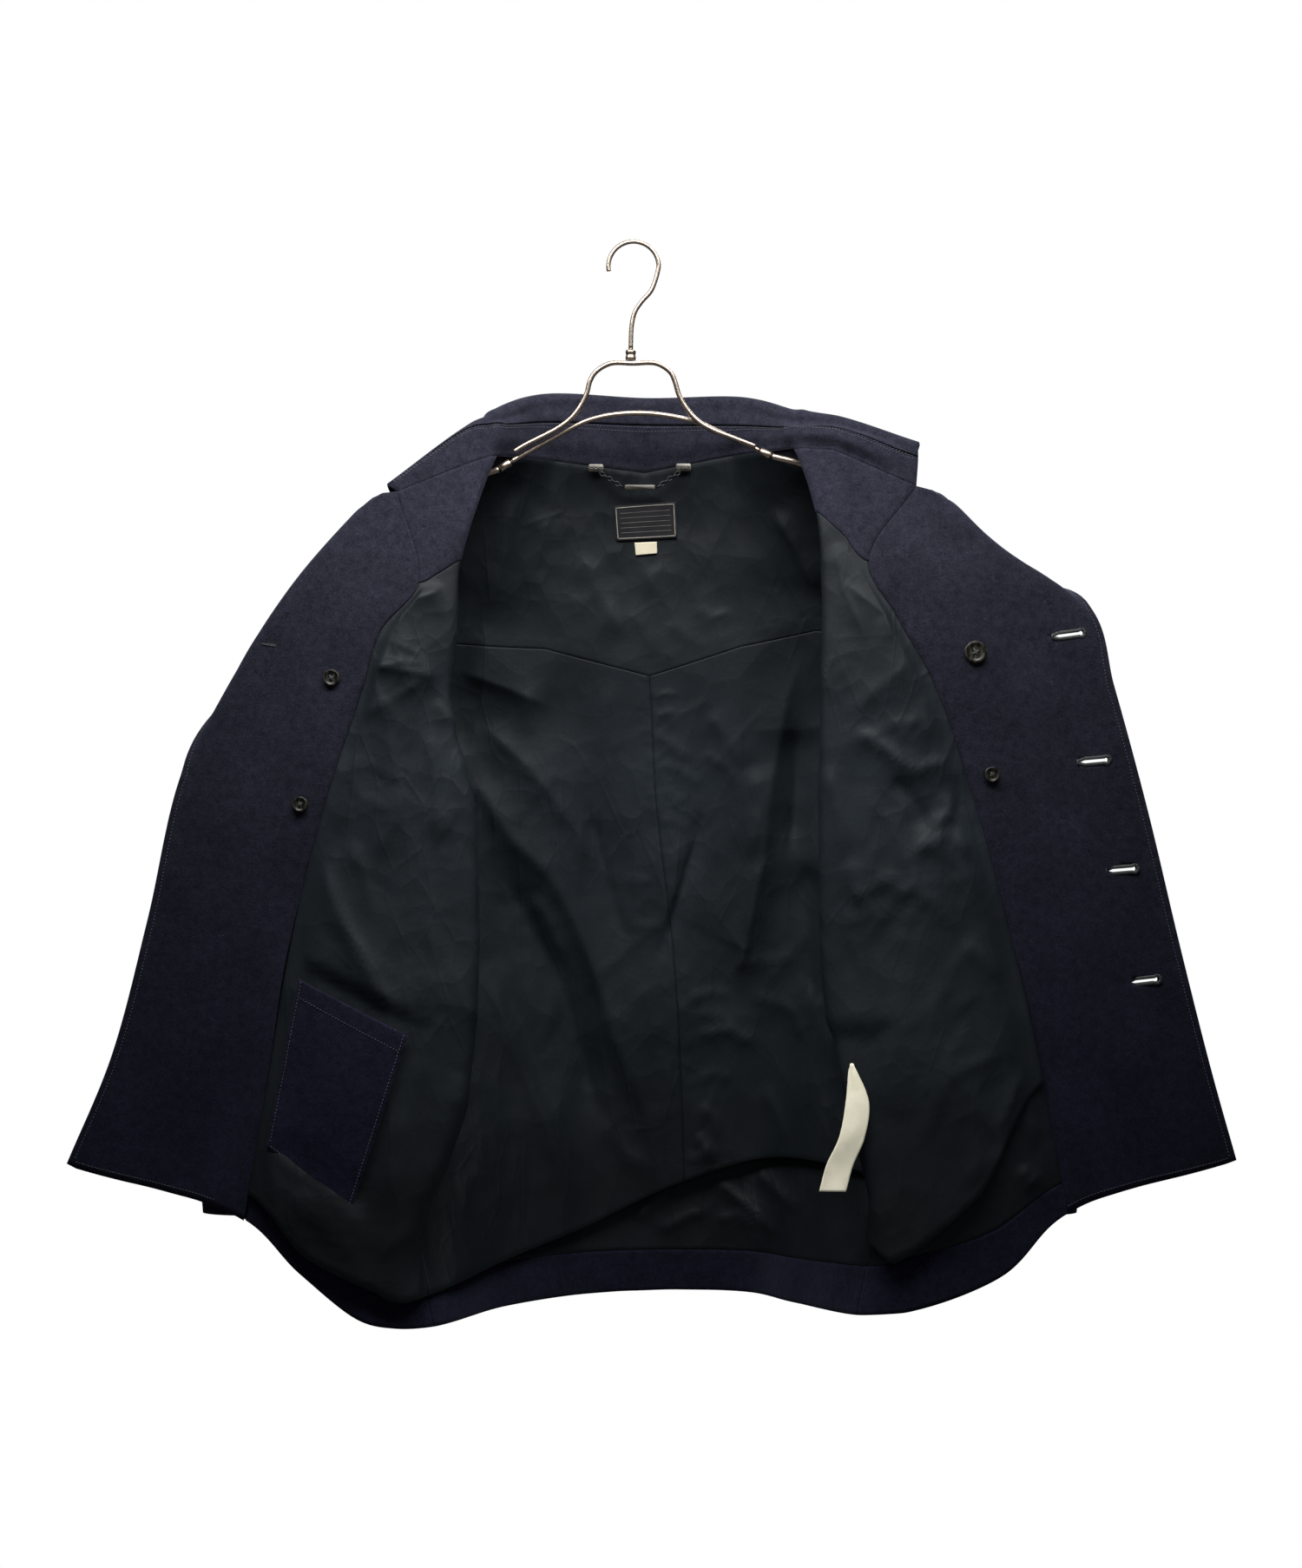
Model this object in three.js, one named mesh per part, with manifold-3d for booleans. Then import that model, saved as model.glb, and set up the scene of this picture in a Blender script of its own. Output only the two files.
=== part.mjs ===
// Pea coat with its fronts swung open on a metal coat hanger, built piece by piece.
// Millimetres, +Z up, +X to the viewer's right, the open front faces -Y.
// The origin is the inside top of the hook, where a rail holds the hanger.
import * as THREE from 'three';
import { mergeVertices } from 'three/addons/utils/BufferGeometryUtils.js';
import Module from 'manifold-3d';

const wasm = await Module();
wasm.setup();

// Cloth thicknesses and gaps
const WOOL = 2.0;
const FACING = 1.8;
const LINING = 1.0;
const COLLAR = 4.0;
const LAYER_GAP = 0.5;
const LINING_GAP = 0.8;
const LINING_HANG = 4.6;
const RETURN_GAP = 1.5;
const HALF_SEAM = 0.15;

// Guide lines of the coat. Each runs from gorge to hem through the eight levels
// gorge, yoke, chest, bust, scye, waist, hip, hem, and holds x, y, z at each of them.
const CENTRE_BACK = [
  [11, 66, -197], [13, 71, -290], [14, 74, -350], [17, 76, -405],
  [22, 78, -500], [38, 78, -640], [46, 76, -785], [48, 74, -939],
];
const LEFT = {
  nape: [[-72, 52, -187], [-76, 64, -290], [-79, 70, -350], [-80, 74, -405],
    [-75, 78, -500], [-62, 78, -640], [-50, 72, -785], [-35, 60, -940]],
  neck: [[-118, 0, -187], [-148, 50, -300], [-158, 62, -366], [-165, 66, -415],
    [-170, 58, -500], [-155, 46, -640], [-138, 30, -785], [-112, 0, -942]],
  side: [[-238, 2, -250], [-229, 16, -315], [-231, 17, -378], [-241, 12, -440],
    [-250, 4, -497], [-218, -26, -640], [-212, -52, -775], [-170, -88, -945]],
  under: [[-118, 0, -187], [-188, -24, -312], [-195, -29, -362], [-198, -32, -415],
    [-195, -32, -503], [-178, -44, -638], [-182, -70, -770], [-200, -94, -946]],
  fold: [[-123, -16, -190], [-151, -44, -284], [-157, -50, -345], [-164, -56, -402],
    [-143, -62, -509], [-139, -68, -636], [-155, -80, -762], [-231, -93, -940]],
  wing: [[-142, -24, -197], [-168, -54, -296], [-186, -60, -346], [-198, -64, -400],
    [-200, -70, -508], [-212, -78, -632], [-232, -88, -752], [-285, -86, -900]],
  seam: [[-206, -30, -223], [-185, -57, -305], [-217, -61, -346], [-233, -62, -397],
    [-267, -64, -505], [-297, -66, -625], [-314, -70, -742], [-333, -72, -856]],
  edge: [[-218, -32, -224], [-275, -44, -288], [-313, -46, -340], [-337, -46, -380],
    [-384, -42, -472], [-414, -38, -600], [-447, -32, -721], [-488, -24, -817]],
};
const RIGHT = {
  nape: [[92, 52, -182], [96, 64, -290], [98, 70, -350], [100, 75, -405],
    [104, 78, -500], [112, 77, -640], [112, 72, -785], [108, 58, -939]],
  neck: [[142, 0, -181], [160, 50, -295], [168, 62, -355], [176, 66, -415],
    [180, 58, -500], [176, 40, -640], [165, 22, -780], [145, -6, -938]],
  side: [[252, 2, -250], [243, 16, -315], [245, 17, -378], [255, 12, -440],
    [262, 4, -497], [228, -32, -640], [232, -52, -768], [195, -82, -936]],
  under: [[142, 0, -181], [206, -24, -285], [212, -29, -345], [214, -32, -408],
    [208, -34, -504], [196, -50, -638], [208, -72, -762], [220, -90, -934]],
  fold: [[147, -16, -184], [163, -38, -241], [172, -48, -313], [171, -56, -378],
    [169, -62, -509], [171, -68, -636], [190, -82, -752], [242, -92, -931]],
  wing: [[178, -24, -186], [184, -48, -262], [198, -58, -322], [214, -64, -386],
    [232, -72, -505], [252, -78, -631], [275, -84, -746], [318, -84, -903]],
  seam: [[250, -28, -218], [206, -52, -286], [231, -58, -335], [263, -61, -394],
    [299, -62, -500], [332, -64, -625], [356, -66, -739], [377, -66, -851]],
  edge: [[262, -30, -221], [321, -42, -277], [392, -44, -332], [411, -43, -393],
    [441, -40, -502], [471, -36, -625], [499, -30, -732], [523, -22, -813]],
};

// The lapel beyond the edge guide: how wide it is and how far it turns, level by level
const LAPEL_RADIUS = 6;
const LEFT_LAPEL = {
  width: [52, 58, 50, 34, 10, 10, 10, 10],
  turn: [3.05, 3.05, 3.0, 2.4, 0.2, 0, 0, 0],
};
const RIGHT_LAPEL = {
  width: [50, 58, 14, 10, 10, 10, 10, 10],
  turn: [3.05, 3.0, 0.6, 0, 0, 0, 0, 0],
};

// The collar from its left end round the neck to its right end, a row for each column.
// bottom is the neck seam, joint the stand seam, roll the fold line; fall and turn shape
// the leaf that hangs behind.
const COLLAR_COLUMNS = [
  { bottom: LEFT.seam[0], joint: [-214, -27, -218], roll: [-215, -21, -217], fall: 28, turn: 0.5 },
  { bottom: LEFT.wing[0], joint: [-141, -14, -165], roll: [-140, -11, -162], fall: 46, turn: 2.0 },
  { bottom: LEFT.fold[0], joint: [-124, -7, -162], roll: [-124, -4, -157], fall: 56, turn: 2.2 },
  { bottom: LEFT.neck[0], joint: [-115, 8, -160], roll: [-114, 9, -152], fall: 66, turn: 2.3 },
  { bottom: LEFT.nape[0], joint: [-75, 48, -153], roll: [-75, 46, -135], fall: 80, turn: 2.6 },
  { bottom: CENTRE_BACK[0], joint: [11, 61, -154], roll: [11, 58, -138], fall: 84, turn: 2.75 },
  { bottom: RIGHT.nape[0], joint: [93, 48, -156], roll: [93, 46, -138], fall: 80, turn: 2.6 },
  { bottom: RIGHT.neck[0], joint: [139, 8, -163], roll: [138, 9, -153], fall: 66, turn: 2.3 },
  { bottom: RIGHT.fold[0], joint: [150, -5, -165], roll: [150, -6, -156], fall: 56, turn: 2.4 },
  { bottom: RIGHT.wing[0], joint: [180, -16, -169], roll: [180, -14, -160], fall: 50, turn: 2.6 },
  { bottom: RIGHT.seam[0], joint: [252, -24, -192], roll: [252, -22, -184], fall: 46, turn: 3.0 },
];
const COLLAR_RADIUS = 6;
const COLLAR_TURN_STEPS = 5;
const NECK_SEAM_TRIM = 0.03;

// How far the shoulders stand rounded over the hanger's arms
const SHOULDER_ROUND = 12;
// Half width of the armhole, which parts front and back down to this level
const SCYE_HALF_WIDTH = 27;
const SCYE_LEVEL = 4;

// Grid lines shared by every layer of a panel, so that the layers stay apart
const V_LINES = [0, 0.1, 0.33, 0.67, 1, 1.5, 2, 2.5, 3, 3.5, 4, 4.5, 5, 5.5, 6, 6.4, 6.76, 7];
const LAPEL_LINES = [-1, -0.6, -0.36, -0.27, -0.18, -0.09];
const STEPS_PER_COLUMN = 3;
const HEM_BAND_TOP = 6.76;

// Columns of the front sheets, counted from the front edge to the side
const EDGE = 0;
const SEAM = 1;
const FOLD = 3;
const SIDE = 5;
// Columns of the back sheet, counted from the left side to the right side
const BACK_LEFT_SIDE = 1;
const BACK_CENTRE = 4;
const BACK_RIGHT_SIDE = 7;

// Height of the lining's loose lower edge at each column of a sheet
const LEFT_LINING_HEM = [-830, -834, -884, -914, -924, -920];
const RIGHT_LINING_HEM = [-730, -738, -832, -888, -876, -866];
const BACK_LINING_HEM = [-920, -920, -904, -879, -840, -821, -815, -826, -840];
const YOKE_SEAM = [-352, -352, -352, -356, -381, -354, -340, -340, -340];
// Level at which the turned-up lining return starts
const RETURN_TOP = 6;

// Sleeve sections from armhole to cuff on the left: outer and inner edge x, z,
// mid depth y and half depth. The right sleeve mirrors them about MIRROR_X.
const MIRROR_X = 7;
const SLEEVE_ROWS = [
  { outer: [-262, -268], inner: [-256, -498], y: 16, half: 31 },
  { outer: [-290, -305], inner: [-258, -500], y: 21, half: 33 },
  { outer: [-318, -352], inner: [-260, -506], y: 25, half: 36 },
  { outer: [-342, -402], inner: [-262, -516], y: 28, half: 37 },
  { outer: [-362, -455], inner: [-263, -534], y: 30, half: 38 },
  { outer: [-378, -520], inner: [-263, -566], y: 31, half: 38 },
  { outer: [-388, -600], inner: [-261, -624], y: 30, half: 38 },
  { outer: [-392, -700], inner: [-255, -712], y: 28, half: 36 },
  { outer: [-389, -790], inner: [-250, -796], y: 27, half: 34 },
  { outer: [-383, -862], inner: [-247, -860], y: 26, half: 32 },
];
const SLEEVE_SIDES = 18;
const SLEEVE_STAND_OFF = 2.6;

// Hanger wire
const HOOK_WIRE = 2.0;
const FRAME_WIRE = 2.2;
const ARM_RADIUS = 3;
const WIRE_SET = 2.4;
const HOOK_RADIUS = 22.3;
const HOOK_CENTRE_Z = HOOK_WIRE - HOOK_RADIUS;

// Buttons
const BUTTON_HEIGHT = 3.2;
const COAT_BUTTON_RADIUS = 14;
const COAT_BUTTON_HEIGHT = 4.6;

// Colours
const NAVY = 0x1b1c29;
const BLACK_GREEN = 0x141c1b;
const METAL = 0xc2b8a8;
const HORN = 0x1d1d18;

const UP = new THREE.Vector3(0, 0, 1);
const STEP = 0.004;

const vector = (values) => new THREE.Vector3(values[0], values[1], values[2]);
const guide = (rows) => rows.map(vector);
const blend = (a, b, t) => a + (b - a) * t;

function rowAt(values, t) {
  const i = Math.min(Math.max(Math.floor(t), 0), values.length - 2);
  return blend(values[i], values[i + 1], t - i);
}

function lineAt(points, t) {
  const i = Math.min(Math.max(Math.floor(t), 0), points.length - 2);
  return points[i].clone().lerp(points[i + 1], t - i);
}

// Centripetal Catmull-Rom curve through the points, t counted in points
function splineAt(points, t) {
  const i = Math.min(Math.max(Math.floor(t), 0), points.length - 2);
  const f = t - i;
  const p1 = points[i];
  const p2 = points[i + 1];
  const p0 = i > 0 ? points[i - 1] : p1.clone().multiplyScalar(2).sub(p2);
  const p3 = i + 2 < points.length ? points[i + 2] : p2.clone().multiplyScalar(2).sub(p1);
  const a = Math.sqrt(p0.distanceTo(p1));
  const b = Math.sqrt(p1.distanceTo(p2));
  const c = Math.sqrt(p2.distanceTo(p3));
  const along = (p, q, r, s, t1) => {
    const m1 = b * ((q - p) / a - (r - p) / (a + b) + (r - q) / b);
    const m2 = b * ((r - q) / b - (s - q) / (b + c) + (s - r) / c);
    const k2 = 3 * (r - q) - 2 * m1 - m2;
    const k3 = 2 * (q - r) + m1 + m2;
    return q + m1 * t1 + k2 * t1 * t1 + k3 * t1 * t1 * t1;
  };
  return new THREE.Vector3(
    along(p0.x, p1.x, p2.x, p3.x, f),
    along(p0.y, p1.y, p2.y, p3.y, f),
    along(p0.z, p1.z, p2.z, p3.z, f),
  );
}

const smooth = (t) => {
  const k = Math.min(Math.max(t, 0), 1);
  return k * k * (3 - 2 * k);
};

const scyeHalfWidth = (v) => {
  const part = Math.sin(Math.PI * Math.min(v / SCYE_LEVEL, 1));
  return SCYE_HALF_WIDTH * Math.max(part, 0) ** 0.7;
};

// A sheet is a surface through guides. u counts guides, v counts levels.
function plainPoint(sheet, u, v) {
  const across = sheet.guides.map((points) => splineAt(points, v));
  across[sheet.sideColumn].y += sheet.sideSign * scyeHalfWidth(v);
  if (sheet.farSideColumn) across[sheet.farSideColumn].y += sheet.sideSign * scyeHalfWidth(v);
  const point = lineAt(across, u).lerp(splineAt(across, u), smooth(v * 1.5));
  const lift = v < 1 ? SHOULDER_ROUND * 4 * v * (1 - v) : 0;
  point.y += lift * rowAt(sheet.round, u);
  return point;
}

// Turned strip beyond a border: start point, outward and rear directions
function turned(start, outward, rear, length, radius, angle) {
  const bent = Math.min(length, radius * angle);
  const turn = bent / radius;
  const rest = length - bent;
  const out = radius * Math.sin(turn) + rest * Math.cos(turn);
  const back = radius * (1 - Math.cos(turn)) + rest * Math.sin(turn);
  return start.clone().addScaledVector(outward, out).addScaledVector(rear, back);
}

function frontPoint(sheet, u, v) {
  if (u >= 0 || !sheet.lapel) return plainPoint(sheet, u, v);
  const start = plainPoint(sheet, 0, v);
  const outward = start.clone().sub(plainPoint(sheet, STEP, v)).normalize();
  const down = plainPoint(sheet, 0, Math.min(v + STEP, 7))
    .sub(plainPoint(sheet, 0, Math.max(v - STEP, 0))).normalize();
  outward.addScaledVector(down, -outward.dot(down)).normalize();
  const rear = outward.clone().cross(down).multiplyScalar(sheet.hand);
  const width = rowAt(sheet.lapel.width, v);
  return turned(start, outward, rear, -u * width, LAPEL_RADIUS, rowAt(sheet.lapel.turn, v));
}

// Inner normal of a sheet, towards the lining
function inwardAt(sheet, u, v) {
  const place = sheet.place ?? frontPoint;
  const uHigh = place(sheet, Math.min(u + STEP, sheet.uMax), v);
  const uLow = place(sheet, Math.max(u - STEP, sheet.uMin), v);
  const vHigh = place(sheet, u, Math.min(v + STEP, sheet.vMax ?? 7));
  const vLow = place(sheet, u, Math.max(v - STEP, 0));
  const normal = uHigh.sub(uLow).cross(vHigh.sub(vLow)).normalize();
  return normal.multiplyScalar(sheet.hand);
}

function pointOn(sheet, u, v, offset) {
  const place = sheet.place ?? frontPoint;
  return place(sheet, u, v).addScaledVector(inwardAt(sheet, u, v), offset);
}

// The place on a sheet seen at x, z, by Newton steps from a first guess
function locate(sheet, x, z, u, v) {
  let place = { u, v };
  for (let turn = 0; turn < 30; turn += 1) {
    const here = frontPoint(sheet, place.u, place.v);
    const alongU = frontPoint(sheet, place.u + STEP, place.v).sub(here).divideScalar(STEP);
    const alongV = frontPoint(sheet, place.u, place.v + STEP).sub(here).divideScalar(STEP);
    const dx = x - here.x;
    const dz = z - here.z;
    const det = alongU.x * alongV.z - alongV.x * alongU.z;
    const stepU = (dx * alongV.z - alongV.x * dz) / det;
    const stepV = (alongU.x * dz - dx * alongU.z) / det;
    const limit = 0.4 / Math.max(0.4, Math.abs(stepU), Math.abs(stepV));
    place = { u: place.u + stepU * limit, v: place.v + stepV * limit };
  }
  return place;
}

// Level at which the sheet's column u is at height z
function levelAt(sheet, u, z) {
  let low = 0;
  let high = 7;
  for (let turn = 0; turn < 24; turn += 1) {
    const middle = (low + high) / 2;
    if (frontPoint(sheet, u, middle).z > z) low = middle;
    else high = middle;
  }
  return (low + high) / 2;
}

// Closed solid from two grids of points with the same rows and columns
function solidBetween(under, over) {
  const rows = under.length;
  const columns = under[0].length;
  const positions = [];
  for (const layer of [under, over]) {
    for (const row of layer) for (const p of row) positions.push(p.x, p.y, p.z);
  }
  const index = (layer, i, j) => layer * rows * columns + i * columns + j;
  const faces = [];
  const quad = (a, b, c, d) => faces.push(a, b, c, a, c, d);
  for (let i = 0; i < rows - 1; i += 1) {
    for (let j = 0; j < columns - 1; j += 1) {
      quad(index(0, i, j), index(0, i + 1, j), index(0, i + 1, j + 1), index(0, i, j + 1));
      quad(index(1, i, j), index(1, i, j + 1), index(1, i + 1, j + 1), index(1, i + 1, j));
    }
  }
  for (let i = 0; i < rows - 1; i += 1) {
    const last = columns - 1;
    quad(index(0, i, 0), index(1, i, 0), index(1, i + 1, 0), index(0, i + 1, 0));
    quad(index(0, i, last), index(0, i + 1, last), index(1, i + 1, last), index(1, i, last));
  }
  for (let j = 0; j < columns - 1; j += 1) {
    const last = rows - 1;
    quad(index(0, 0, j), index(0, 0, j + 1), index(1, 0, j + 1), index(1, 0, j));
    quad(index(0, last, j), index(1, last, j), index(1, last, j + 1), index(0, last, j + 1));
  }
  return outwardFacing(new THREE.Float32BufferAttribute(positions, 3), faces);
}

// Geometry with its faces turned so that its volume is positive
function outwardFacing(position, faces) {
  const a = new THREE.Vector3();
  const b = new THREE.Vector3();
  const c = new THREE.Vector3();
  let volume = 0;
  for (let i = 0; i < faces.length; i += 3) {
    a.fromBufferAttribute(position, faces[i]);
    b.fromBufferAttribute(position, faces[i + 1]);
    c.fromBufferAttribute(position, faces[i + 2]);
    volume += a.dot(b.cross(c));
  }
  const turnedFaces = [];
  for (let i = 0; i < faces.length; i += 3) {
    if (volume > 0) turnedFaces.push(faces[i], faces[i + 1], faces[i + 2]);
    else turnedFaces.push(faces[i], faces[i + 2], faces[i + 1]);
  }
  const geometry = new THREE.BufferGeometry();
  geometry.setAttribute('position', position);
  geometry.setIndex(turnedFaces);
  return geometry;
}

// A wall on a sheet between two offsets. uLines are its columns, vLines(u) its rows,
// and trim names the borders that stand half a seam back.
function wall(sheet, uLines, vLines, from, to, trim = '') {
  const offset = (value, u, v) => (typeof value === 'function' ? value(u, v) : value);
  const places = uLines.map((u) => vLines(u).map((v) => ({ u, v })));
  const place = sheet.place ?? frontPoint;
  const points = places.map((row) => row.map(({ u, v }) => place(sheet, u, v)));
  const normals = places.map((row) => row.map(({ u, v }) => inwardAt(sheet, u, v)));
  const last = points.length - 1;
  const end = points[0].length - 1;
  const pull = (p, q) => p.addScaledVector(q.clone().sub(p).normalize(), HALF_SEAM);
  if (trim.includes('a')) points[0].forEach((p, j) => pull(p, points[1][j]));
  if (trim.includes('b')) points[last].forEach((p, j) => pull(p, points[last - 1][j]));
  if (trim.includes('t')) points.forEach((row) => pull(row[0], row[1]));
  if (trim.includes('h')) points.forEach((row) => pull(row[end], row[end - 1]));
  const layer = (value) => points.map((row, i) => row.map((p, j) => {
    const { u, v } = places[i][j];
    return p.clone().addScaledVector(normals[i][j], offset(value, u, v));
  }));
  return solidBetween(layer(from), layer(to));
}

function columnLines(from, to) {
  const count = Math.round((to - from) * STEPS_PER_COLUMN);
  return Array.from({ length: count + 1 }, (_, i) => from + (to - from) * (i / count));
}

const rowsBetween = (from, to) => V_LINES.filter((v) => v >= from - 1e-6 && v <= to + 1e-6);

// Sheets
function frontSheet(side, lapel, hand) {
  const names = ['edge', 'seam', 'wing', 'fold', 'under', 'side', 'neck'];
  return {
    guides: names.map((name) => guide(side[name])),
    round: [0, 0, 0, -0.3, -1, -0.6, 0],
    sideColumn: SIDE,
    sideSign: -1,
    lapel,
    hand,
    uMin: -1,
    uMax: SIDE + 0.5,
  };
}

function backSheet() {
  const left = ['under', 'side', 'neck', 'nape'].map((name) => guide(LEFT[name]));
  const right = ['nape', 'neck', 'side', 'under'].map((name) => guide(RIGHT[name]));
  return {
    guides: [...left, guide(CENTRE_BACK), ...right],
    round: [0, 0.6, 1, 0.3, 0, 0.3, 1, 0.6, 0],
    sideColumn: BACK_LEFT_SIDE,
    farSideColumn: BACK_RIGHT_SIDE,
    sideSign: 1,
    hand: -1,
    uMin: 0.5,
    uMax: BACK_RIGHT_SIDE + 0.5,
  };
}

const leftFront = frontSheet(LEFT, LEFT_LAPEL, -1);
const rightFront = frontSheet(RIGHT, RIGHT_LAPEL, 1);
const back = backSheet();

// The collar sheet: u counts its columns, v runs 0 neck seam, 1 stand seam, 2 roll, 3 leaf edge
function collarPoint(sheet, u, v) {
  const upTo = Math.min(v, 2);
  const rows = [sheet.bottom, sheet.joint, sheet.roll];
  const across = rows.map((row) => lineAt(row, u).lerp(splineAt(row, u), smooth(v)));
  const point = splineAt(across, upTo);
  if (v <= 2) return point;
  const below = splineAt(rows.map((row) => splineAt(row, u)), 2 - STEP);
  const side = Math.min(u + STEP, sheet.uMax);
  const away = Math.max(u - STEP, sheet.uMin);
  const along = splineAt(sheet.roll, side).sub(splineAt(sheet.roll, away)).normalize();
  const outward = point.clone().sub(below).normalize();
  outward.addScaledVector(along, -outward.dot(along)).normalize();
  const rear = outward.clone().cross(along);
  const fall = rowAt(sheet.fall, u);
  return turned(point, outward, rear, (v - 2) * fall, COLLAR_RADIUS, rowAt(sheet.turn, u));
}

const collar = {
  place: collarPoint,
  bottom: guide(COLLAR_COLUMNS.map((column) => column.bottom)),
  joint: guide(COLLAR_COLUMNS.map((column) => column.joint)),
  roll: guide(COLLAR_COLUMNS.map((column) => column.roll)),
  fall: COLLAR_COLUMNS.map((column) => column.fall),
  turn: COLLAR_COLUMNS.map((column) => column.turn),
  hand: 1,
  uMin: 0,
  uMax: COLLAR_COLUMNS.length - 1,
  vMax: 3,
};

const group = new THREE.Group();

function add(name, geometry, color, roughness, metalness = 0) {
  const material = new THREE.MeshStandardMaterial({ color, roughness, metalness });
  const mesh = new THREE.Mesh(geometry, material);
  mesh.name = name;
  group.add(mesh);
  return mesh;
}

const addWool = (name, geometry) => add(name, geometry, NAVY, 0.95);
const addLining = (name, geometry) => add(name, geometry, BLACK_GREEN, 0.55);
const addMetal = (name, geometry) => add(name, geometry, METAL, 0.3, 1);
const addButton = (name, geometry) => add(name, geometry, HORN, 0.4);

// Offsets of the lining, which stands away from the wool towards its loose lower edge
const liningBulge = (u, v) => LINING_GAP + LINING_HANG * smooth((v - 4.4) / 2.2);
const liningFace = (u, v) => liningBulge(u, v) + LINING;
const facingFace = LAYER_GAP + FACING;

function addShell() {
  const whole = () => V_LINES;
  for (const [side, sheet] of [['left', leftFront], ['right', rightFront]]) {
    const columns = [...LAPEL_LINES, ...columnLines(EDGE, SIDE)];
    const front = wall(sheet, columns, whole, -WOOL, 0, 'bt');
    addWool(`front_${side}`, side === 'right' ? withButtonholes(front) : front);
  }
  const leftHalf = columnLines(BACK_LEFT_SIDE, BACK_CENTRE);
  const rightHalf = columnLines(BACK_CENTRE, BACK_RIGHT_SIDE);
  addWool('back_left', wall(back, leftHalf, whole, -WOOL, 0, 'abt'));
  addWool('back_right', wall(back, rightHalf, whole, -WOOL, 0, 'abt'));
}

function addFacings() {
  for (const [side, sheet] of [['left', leftFront], ['right', rightFront]]) {
    const outer = [...LAPEL_LINES, ...columnLines(EDGE, SEAM)];
    const facing = wall(sheet, outer, () => V_LINES, LAYER_GAP, facingFace, 'bt');
    addWool(`facing_${side}`, side === 'right' ? withButtonholes(facing) : facing);
    const inner = [...columnLines(SEAM, FOLD), FOLD + 1 / STEPS_PER_COLUMN];
    const rows = () => rowsBetween(0, 1);
    addWool(`upper_facing_${side}`, wall(sheet, inner, rows, LAYER_GAP, facingFace, 'abth'));
  }
}

// Rows that follow the shared grid down to level 5 and then run on to a given height
function rowsToHeight(sheet, heights, from) {
  const shared = rowsBetween(from, 5);
  return (u) => {
    const end = levelAt(sheet, u, splineHeight(heights, u));
    const rest = [0.3, 0.6, 0.82, 1].map((part) => blend(5, Math.max(end, 5.4), part));
    return [...shared, ...rest];
  };
}

function splineHeight(heights, u) {
  return splineAt(heights.map((z, i) => new THREE.Vector3(i * 60, 0, z)), u).z;
}

function addLinings() {
  const yokeLevel = (u) => levelAt(back, u, rowAt(YOKE_SEAM, u));
  const all = columnLines(BACK_LEFT_SIDE, BACK_RIGHT_SIDE);
  const yokeTop = (u) => (Math.abs(u - BACK_CENTRE) > 1.9 ? [0.1, 0.13] : [0, 0.1]);
  const yokeRows = (u) => [...yokeTop(u), ...rowsBetween(0.3, 1), yokeLevel(u)];
  addLining('lining_yoke', wall(back, all, yokeRows, LINING_GAP, LINING_GAP + LINING, 'abth'));
  const backRows = (u) => [yokeLevel(u), ...rowsToHeight(back, BACK_LINING_HEM, 3)(u)];
  const halves = { left: [BACK_LEFT_SIDE, BACK_CENTRE], right: [BACK_CENTRE, BACK_RIGHT_SIDE] };
  for (const [side, [from, to]] of Object.entries(halves)) {
    const columns = columnLines(from, to);
    addLining(`lining_back_${side}`, wall(back, columns, backRows, liningBulge, liningFace, 'abt'));
  }
  for (const [side, sheet] of [['left', leftFront], ['right', rightFront]]) {
    const heights = side === 'left' ? LEFT_LINING_HEM : RIGHT_LINING_HEM;
    const rows = rowsToHeight(sheet, heights, 1);
    const columns = columnLines(SEAM, SIDE);
    addLining(`lining_front_${side}`, wall(sheet, columns, rows, liningBulge, liningFace, 'abt'));
  }
}

// The lining's turned-up return and the wool hem band under its lower edge
function addHemPieces() {
  const strips = [
    ['back', back, columnLines(BACK_LEFT_SIDE, BACK_RIGHT_SIDE)],
    ['right', rightFront, columnLines(SEAM, SIDE)],
  ];
  for (const [side, sheet, columns] of strips) {
    const returnRows = () => rowsBetween(RETURN_TOP, HEM_BAND_TOP);
    const strip = wall(sheet, columns, returnRows, RETURN_GAP, RETURN_GAP + LINING, 'abh');
    addLining(`lining_return_${side}`, strip);
  }
  const bands = [
    ['left', leftFront, columnLines(SEAM, SIDE)],
    ['back_left', back, columnLines(BACK_LEFT_SIDE, BACK_CENTRE)],
    ['back_right', back, columnLines(BACK_CENTRE, BACK_RIGHT_SIDE)],
    ['right', rightFront, columnLines(SEAM, SIDE)],
  ];
  for (const [side, sheet, columns] of bands) {
    const bandRows = () => rowsBetween(HEM_BAND_TOP, 7);
    addWool(`hem_band_${side}`, wall(sheet, columns, bandRows, LAYER_GAP, facingFace, 'abt'));
  }
}

function addCollar() {
  const columns = [0, 0.5, 1, 1.5, 2, 2.5, 3, 3.33, 3.67, 4, 4.33, 4.67, 5];
  const all = [...columns, ...columns.slice(0, -1).reverse().map((u) => 10 - u)];
  const cornerTrim = (u) => 0.075 * smooth(1.5 - Math.abs(Math.abs(u - 5) - 2.5));
  const endTrim = (u) => 0.2 * smooth(1 - u);
  const standRows = (u) => [NECK_SEAM_TRIM + cornerTrim(u) + endTrim(u), 0.55, 1];
  const stand = wall(collar, all, standRows, -COLLAR / 2, COLLAR / 2, 'h');
  addWool('collar_stand', stand);
  const leafRows = (u) => {
    const bent = COLLAR_RADIUS * rowAt(collar.turn, u) / rowAt(collar.fall, u);
    const arc = Array.from({ length: COLLAR_TURN_STEPS }, (_, i) => (i + 1) / COLLAR_TURN_STEPS);
    return [1, 1.5, 2, ...arc.map((part) => 2 + bent * part), 2.5 + bent / 2, 3];
  };
  addWool('collar_fall', wall(collar, all, leafRows, -COLLAR / 2, COLLAR / 2, 't'));
}

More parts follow.
